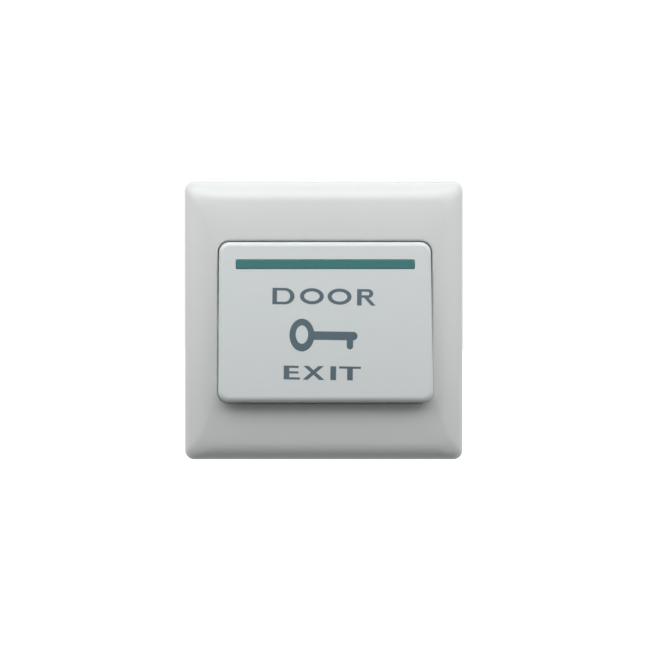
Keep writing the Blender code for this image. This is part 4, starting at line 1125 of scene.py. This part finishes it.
TOOTH = millimetres(6.34, 8.25)
TOOTH_END = -8.12 * MM
PRINT_DEPTH = (FACE_FRONT - MM, FACE_FRONT + MM)
CUT_DEPTH = (FACE_FRONT - 2 * MM, FACE_FRONT + 2 * MM)


def stroke(x, z, depth=PRINT_DEPTH):
    return add_block("stroke", x, depth, z)


def leaning_stroke(low, high, width, z):
    """A stroke from one place at its lower end to another at its upper end."""
    made = stroke((low, low + width), z)
    middle = (z[0] + z[1]) / 2
    move_points(made, lambda co: co.z > middle, (high - low, 0.0, 0.0))
    return made


def oval(middle, half, depth=PRINT_DEPTH):
    """An oval disc around a place on the face."""
    rod = add_rod("oval", 1.0, 0.0, 0.0, depth, 96)
    rod.scale = (half[0], 1.0, half[1])
    rod.location = (middle[0], 0.0, middle[1])
    return settle("oval")


def join_strokes(added, removed=()):
    """Make one letter from its strokes and take its counters out of it."""
    combine(added[0], added[1:], "UNION")
    combine(added[0], removed, "DIFFERENCE")
    return added[0]


# Each letter starts at its left end, stands between two heights, and is given the widths of its
# upright and its level strokes, whether it has both or not


def letter_d(left, low, high, stem, bar):
    middle = (low + high) / 2
    half = (high - low) / 2
    bowl = left + D_BOWL[0]
    reach = D_BOWL[1]
    added = [stroke((left, bowl), (low, high)), oval((bowl, middle), (reach, half))]
    removed = [
        stroke((left + stem, bowl), (low + bar, high - bar), CUT_DEPTH),
        oval((bowl, middle), (reach - stem, half - bar), CUT_DEPTH),
    ]
    return join_strokes(added, removed)


def letter_o(left, low, high, stem, bar):
    middle = (left + O_HALF[0], (low + high) / 2 + O_LIFT)
    return join_strokes([oval(middle, O_HALF)], [oval(middle, O_HOLE_HALF, CUT_DEPTH)])


def letter_r(left, low, high, stem, bar):
    foot = high - R_BOWL_HEIGHT
    middle = (foot + high) / 2
    half = (high - foot) / 2
    bowl = left + R_BOWL[0]
    reach = R_BOWL[1]
    added = [
        stroke((left, left + stem), (low, high)),
        stroke((left + stem / 2, bowl), (foot, high)),
        oval((bowl, middle), (reach, half)),
    ]
    removed = [
        stroke((left + stem, bowl), (foot + bar, high - bar), CUT_DEPTH),
        oval((bowl, middle), (reach - R_BOWL_STROKE * stem, half - bar), CUT_DEPTH),
    ]
    letter = join_strokes(added, removed)
    top = foot + bar / 2
    leg = leaning_stroke(left + R_LEG[1], left + R_LEG[0], R_WIDTH - R_LEG[1], (low, top))
    return join_strokes([letter, leg])


def letter_e(left, low, high, stem, bar):
    upper, centre, lower = (left + reach for reach in E_ARMS)
    start = left + stem / 2
    return join_strokes(
        [
            stroke((left, left + stem), (low, high)),
            stroke((start, upper), (high - bar, high)),
            stroke((start, centre), span((low + high) / 2 + E_LIFT, bar / 2)),
            stroke((start, lower), (low, low + bar)),
        ]
    )


def letter_x(left, low, high, stem, bar):
    right = left + X_WIDTH - X_STROKE
    rising = leaning_stroke(left, right - X_INSET, X_STROKE, (low, high))
    falling = leaning_stroke(right, left + X_INSET, X_STROKE, (low, high))
    return join_strokes([rising, falling])


def letter_i(left, low, high, stem, bar):
    return stroke((left, left + stem), (low, high))


def letter_t(left, low, high, stem, bar):
    upright = stroke(span(left + T_WIDTH / 2, stem / 2), (low, high - bar / 2))
    return join_strokes([upright, stroke((left, left + T_WIDTH), (high - bar, high))])


WORDS = {
    "door": (UPPER_WORD, UPPER_LEFTS, (letter_d, letter_o, letter_o, letter_r)),
    "exit": (LOWER_WORD, LOWER_LEFTS, (letter_e, letter_x, letter_i, letter_t)),
}


def draw_key():
    """The outline of a key: an oval bow, a shaft with a round end and one tooth."""
    end = SHAFT[1] - SHAFT_HALF
    tooth_half = (TOOTH[1] - TOOTH[0]) / 2
    tooth_round = TOOTH_END + tooth_half
    return join_strokes(
        [
            oval(BOW_MIDDLE, BOW_HALF),
            stroke((SHAFT[0], end), span(SHAFT_MIDDLE, SHAFT_HALF)),
            oval((end, SHAFT_MIDDLE), (SHAFT_HALF, SHAFT_HALF)),
            stroke(TOOTH, (tooth_round, SHAFT_MIDDLE)),
            oval((TOOTH[0] + tooth_half, tooth_round), (tooth_half, tooth_half)),
        ],
        [oval(BOW_HOLE, BOW_HOLE_HALF, CUT_DEPTH)],
    )


def print_sign(name, sign, place):
    """Press a thick sign down to a film, half sunk into the face and a little askew."""
    sign.name = name
    edit(sign, whole=True)
    thinned = 2 * PROUD / (PRINT_DEPTH[1] - PRINT_DEPTH[0])
    bpy.ops.transform.resize(value=(1.0, thinned, 1.0), center_override=(0.0, -FACE_FRONT, 0.0))
    leave_edit()
    centre = Matrix.Translation((place[0], 0.0, place[1]))
    turn = Matrix.Rotation(bpy.context.scene.sign_sizes.askew, 4, "Y")
    finish_piece(sign, "rocker", "dark_print", (), ROCKER @ centre @ turn @ centre.inverted())


class EXITBUTTON_OT_signs(Operator):
    """Print the two words and the key on the paddle"""

    bl_idname = "exitbutton.signs"
    bl_label = "Printed signs"

    def execute(self, context):
        sizes = context.scene.sign_sizes
        for word, (place, lefts, letters) in WORDS.items():
            height, stem, bar = (
                getattr(sizes, f"{word}_{size}") for size in ("height", "stem", "bar")
            )
            low, high = span(place[1], height / 2)
            made = [make(left, low, high, stem, bar) for left, make in zip(lefts, letters)]
            print_sign(f"{word}_print", gather(made), place)
        print_sign("key_print", draw_key(), KEY_PLACE)
        return {"FINISHED"}


# Inner pieces, which follow their solids: node, body, finish and softening in millimetres

INNER_PIECES = (
    ("rocker_carrier", "rocker", "matt_inner_plastic", 0.12),
    ("mounting_plate", "base", "matt_plate_plastic", 0.12),
    ("switch_housing", "base", "black_housing_plastic", 0.12),
    ("plunger", "plunger", "matt_inner_plastic", 0.10),
    ("contact_leaf", "leaf", "spring_bronze", 0.05),
    ("moving_contact", "leaf", "polished_contact_silver", 0.06),
    ("fixed_contact", "base", "polished_contact_silver", 0.06),
    ("leaf_rivet", "base", "brushed_brass", 0.06),
    ("common_terminal", "base", "brushed_brass", 0.08),
    ("open_terminal", "base", "brushed_brass", 0.08),
    ("wire_clamp_common", "base", "zinc_plated_steel", 0.10),
    ("wire_clamp_open", "base", "zinc_plated_steel", 0.10),
)


def refined_copy(node, width):
    """A copy of a solid with its flat faces merged and its edges softened."""
    solid = NODES[node]
    copy = solid.copy()
    copy.data = solid.data.copy()
    copy.name = f"{node}_finished"
    bpy.context.scene.collection.objects.link(copy)
    edit(copy, whole=True)
    bpy.ops.mesh.remove_doubles(threshold=MERGE)
    bpy.ops.mesh.dissolve_limited(angle_limit=math.radians(1))
    leave_edit()
    soften(copy, width)
    return copy


class EXITBUTTON_OT_inner_pieces(Operator):
    """Finish the pieces inside, from their solids, with softened edges"""

    bl_idname = "exitbutton.inner_pieces"
    bl_label = "Inner pieces"

    def execute(self, context):
        for node, body, finish, width in INNER_PIECES:
            finish_piece(refined_copy(node, width * MM), body, finish, [node])
        return {"FINISHED"}


# Screws: the depth of each one's recess as a share of its head

SCREWS = {
    "housing_screw_1": 0.5,
    "housing_screw_2": 0.5,
    "housing_screw_3": 0.5,
    "housing_screw_4": 0.5,
    "terminal_screw_common": 0.6,
    "terminal_screw_open": 0.6,
}
THREAD_PITCH = 0.7 * MM
THREAD_RIDGE = 0.4 * THREAD_PITCH
THREAD_CORE = 0.78  # radius of the core as a share of the thread's
HEAD_ROUNDING = 0.45  # share of the head's height
TIP_ROUNDING = 0.4  # share of the point's length
RECESS_LENGTH = 0.52  # of the head's width
RECESS_WIDTH = 0.12
ALONG = Matrix.Rotation(-math.pi / 2, 4, "X")  # lays what is wound round Z along Y


def rings_of(node):
    """Place and radius of each point of a turned solid whose axis runs from front to rear."""
    low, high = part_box(node)
    middle = (low + high) / 2
    points = [vert.co - middle for vert in NODES[node].data.vertices]
    return middle, [(point.y, math.hypot(point.x, point.z)) for point in points]


def add_thread(radius, start, end):
    """A screw thread: a sharp ridge wound round the shank."""
    turns = (end - start) / THREAD_PITCH
    ridge = add_coil("thread", radius, THREAD_RIDGE, 3, turns, end - start, 24)
    ridge.matrix_world = Matrix.Translation((0.0, start, 0.0)) @ ALONG
    return settle("thread")


def add_screw(node, recess):
    """A screw whose round head looks to the rear, with a cross recess and a cut thread."""
    middle, rings = rings_of(node)
    tip = min(place for place, radius in rings)
    rear = max(place for place, radius in rings)
    head = max(radius for place, radius in rings)
    shank = max(radius for place, radius in rings if place < 0)
    seat = min(place for place, radius in rings if radius > shank + BITE)
    point = min(place for place, radius in rings if radius > shank - HAIR)
    screw = add_rod(f"{node}_finished", head, 0.0, 0.0, (-rear, -seat), 64)
    edit(screw)
    bevel_edges(lambda a, b: min(a.y, b.y) > rear - MERGE, HEAD_ROUNDING * (rear - seat), 6)
    leave_edit()
    rod = add_rod("shank", THREAD_CORE * shank, 0.0, 0.0, (-seat - BITE, -tip), 32)
    edit(rod)
    bevel_edges(lambda a, b: max(a.y, b.y) < tip + MERGE, TIP_ROUNDING * (point - tip), 2)
    leave_edit()
    combine(screw, [rod, add_thread(shank - THREAD_RIDGE, point, seat - MM / 2)], "UNION")
    depth = (-rear - BEYOND, -rear + recess * (rear - seat))
    wide = RECESS_LENGTH * head
    narrow = RECESS_WIDTH * head
    slots = [
        add_block("slot", span(0.0, across), depth, span(0.0, along))
        for across, along in ((wide, narrow), (narrow, wide))
    ]
    combine(screw, slots, "DIFFERENCE")
    return screw, Matrix.Translation(middle)


class EXITBUTTON_OT_screws(Operator):
    """Model the housing screws and the terminal screws with their recesses"""

    bl_idname = "exitbutton.screws"
    bl_label = "Screws"

    def execute(self, context):
        for node, recess in SCREWS.items():
            screw, place = add_screw(node, recess)
            finish_piece(screw, "base", "zinc_plated_steel", [node], place)
        return {"FINISHED"}


# Return spring

SPRING_TURNS = 3.5
SPRING_WIRE = 0.6 * MM
SPRING_FOOT = 1.3 * MM  # where the spring stands behind the wall plane


class EXITBUTTON_OT_return_spring(Operator):
    """Wind the return spring"""

    bl_idname = "exitbutton.return_spring"
    bl_label = "Return spring"

    def execute(self, context):
        low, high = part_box("return_spring")
        wire = SPRING_WIRE / 2
        radius = (high.x - low.x) / 2 - wire
        rise = high.y - low.y - 2 * wire
        coil = add_coil("return_spring_finished", radius, wire, 12, SPRING_TURNS, rise, 48)
        foot = Vector(((low.x + high.x) / 2, low.y + wire, (low.z + high.z) / 2))
        place = Matrix.Translation(foot) @ ALONG
        finish_piece(coil, "base", "zinc_plated_steel", ["return_spring"], place)
        foot = (0.0, SPRING_FOOT, 0.0)
        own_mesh(coil)
        return {"FINISHED"}


# Studio


FADE = 0.1  # half the band over which the surroundings turn from dark to white
FLOOR_SIZE = 4.0
SENSOR_WIDTH = 36.0
CLIP_START = 10 * MM


def make_surroundings(sizes):
    """White surroundings behind the object, which the camera sees as pure white."""
    world = bpy.context.scene.world or bpy.data.worlds.new("studio")
    bpy.context.scene.world = world
    world.use_nodes = True
    tree = world.node_tree
    tree.nodes.clear()
    out = add_node(tree, "ShaderNodeOutputWorld")
    mix = add_node(tree, "ShaderNodeMixShader")
    path = add_node(tree, "ShaderNodeLightPath")
    seen = add_node(tree, "ShaderNodeBackground", {"Color": WHITE})
    cast = add_node(tree, "ShaderNodeBackground", {"Color": WHITE})
    place = add_node(tree, "ShaderNodeTexCoord")
    split = add_node(tree, "ShaderNodeSeparateXYZ")
    band = {"From Min": -FADE, "From Max": FADE, "To Min": sizes.around, "To Max": sizes.behind}
    fade = add_node(tree, "ShaderNodeMapRange", band, interpolation_type="SMOOTHSTEP")
    join_nodes(
        tree,
        (place, "Generated", split, 0),
        (split, "Y", fade, "Value"),
        (fade, "Result", cast, "Strength"),
        (path, "Is Camera Ray", mix, "Fac"),
        (cast, 0, mix, 1),
        (seen, 0, mix, 2),
        (mix, 0, out, "Surface"),
    )


# Elevation and azimuth in degrees, distance and side in millimetres, and power in watts
LAMPS = {
    "overhead_lamp": (47, 0, 420, 220, 0.56),
    "upper_left_lamp": (45, -45, 470, 260, 0.88),
    "upper_right_lamp": (45, 45, 470, 260, 0.705),
    "left_lamp": (10, -65, 350, 300, 0.33),
    "right_lamp": (10, 65, 350, 300, 0.36),
    "lower_lamp": (-65, 0, 230, 200, 0.03),
}


def add_lamp(name, elevation, azimuth, distance, side, power):
    """A square soft lamp that looks at the middle of the plate."""
    up = math.radians(elevation)
    across = math.radians(azimuth)
    direction = Vector(
        (math.sin(across) * math.cos(up), -math.cos(across) * math.cos(up), math.sin(up))
    )
    bpy.ops.object.select_all(action="DESELECT")
    bpy.ops.object.light_add(type="AREA", location=direction * distance * MM)
    lamp = bpy.context.object
    lamp.name = name
    lamp.data.size = side * MM
    lamp.data.energy = power
    lamp.rotation_euler = (-direction).to_track_quat("-Z", "Y").to_euler()


def add_floor(drop):
    """A pale floor under the object, which neither lights it nor shades it."""
    bpy.ops.object.select_all(action="DESELECT")
    bpy.ops.mesh.primitive_plane_add(size=FLOOR_SIZE, location=(0.0, 0.0, -drop))
    floor = bpy.context.object
    floor.name = "floor"
    floor.visible_diffuse = False
    floor.visible_glossy = False
    floor.visible_shadow = False
    pale = bpy.data.materials.new("pale_floor")
    pale.use_nodes = True
    look = {"Base Color": (0.9, 0.9, 0.9, 1.0), "Roughness": 0.9}
    glow = {"Emission Color": WHITE, "Emission Strength": 1.0}
    set_inputs(pale.node_tree.nodes["Principled BSDF"], {**look, **glow})
    floor.data.materials.append(pale)


def add_camera(sizes):
    place = (sizes.camera_x, -sizes.camera_front, sizes.camera_z)
    bpy.ops.object.camera_add(location=place, rotation=(math.pi / 2, 0.0, 0.0))
    camera = bpy.context.object
    camera.data.lens = sizes.focal
    camera.data.sensor_width = SENSOR_WIDTH
    camera.data.shift_x = sizes.shift_x
    camera.data.shift_y = sizes.shift_y
    camera.data.clip_start = CLIP_START
    camera.data.dof.use_dof = False
    bpy.context.scene.camera = camera


class EXITBUTTON_OT_studio(Operator):
    """Set the camera, the soft light and the pale floor"""

    bl_idname = "exitbutton.studio"
    bl_label = "Studio"

    def execute(self, context):
        sizes = context.scene.studio_sizes
        context.scene.view_settings.view_transform = "Standard"
        make_surroundings(sizes)
        add_floor(sizes.floor_drop)
        for name, (elevation, azimuth, distance, side, power) in LAMPS.items():
            add_lamp(name, elevation, azimuth, distance, side, power * sizes.brightness)
        add_camera(sizes)
        return {"FINISHED"}


OPERATORS = (
    EXITBUTTON_OT_trim_frame,
    EXITBUTTON_OT_paddle,
    EXITBUTTON_OT_indicator_strip,
    EXITBUTTON_OT_signs,
    EXITBUTTON_OT_inner_pieces,
    EXITBUTTON_OT_screws,
    EXITBUTTON_OT_return_spring,
    EXITBUTTON_OT_studio,
)


class EXITBUTTON_PT_panel(Panel):
    """The steps of the exit button, in their order"""

    bl_idname = "EXITBUTTON_PT_panel"
    bl_label = "Door exit button"
    bl_space_type = "VIEW_3D"
    bl_region_type = "UI"
    bl_category = "Exit Button"

    def draw(self, context):
        for operator in OPERATORS:
            self.layout.operator(operator.bl_idname)
        for group, kind in GROUPS.items():
            box = self.layout.box()
            box.label(text=group.replace("_", " ").capitalize())
            for name in kind.__annotations__:
                box.prop(getattr(context.scene, group), name)


def register():
    for kind in (*GROUPS.values(), *OPERATORS, EXITBUTTON_PT_panel):
        bpy.utils.register_class(kind)
    for name, kind in GROUPS.items():
        setattr(bpy.types.Scene, name, PointerProperty(type=kind))


def unregister():
    for name in GROUPS:
        delattr(bpy.types.Scene, name)
    for kind in reversed((*GROUPS.values(), *OPERATORS, EXITBUTTON_PT_panel)):
        bpy.utils.unregister_class(kind)


def main():
    register()
    for operator in OPERATORS:
        group, name = operator.bl_idname.split(".")
        getattr(getattr(bpy.ops, group), name)()


if __name__ == "__main__":
    main()
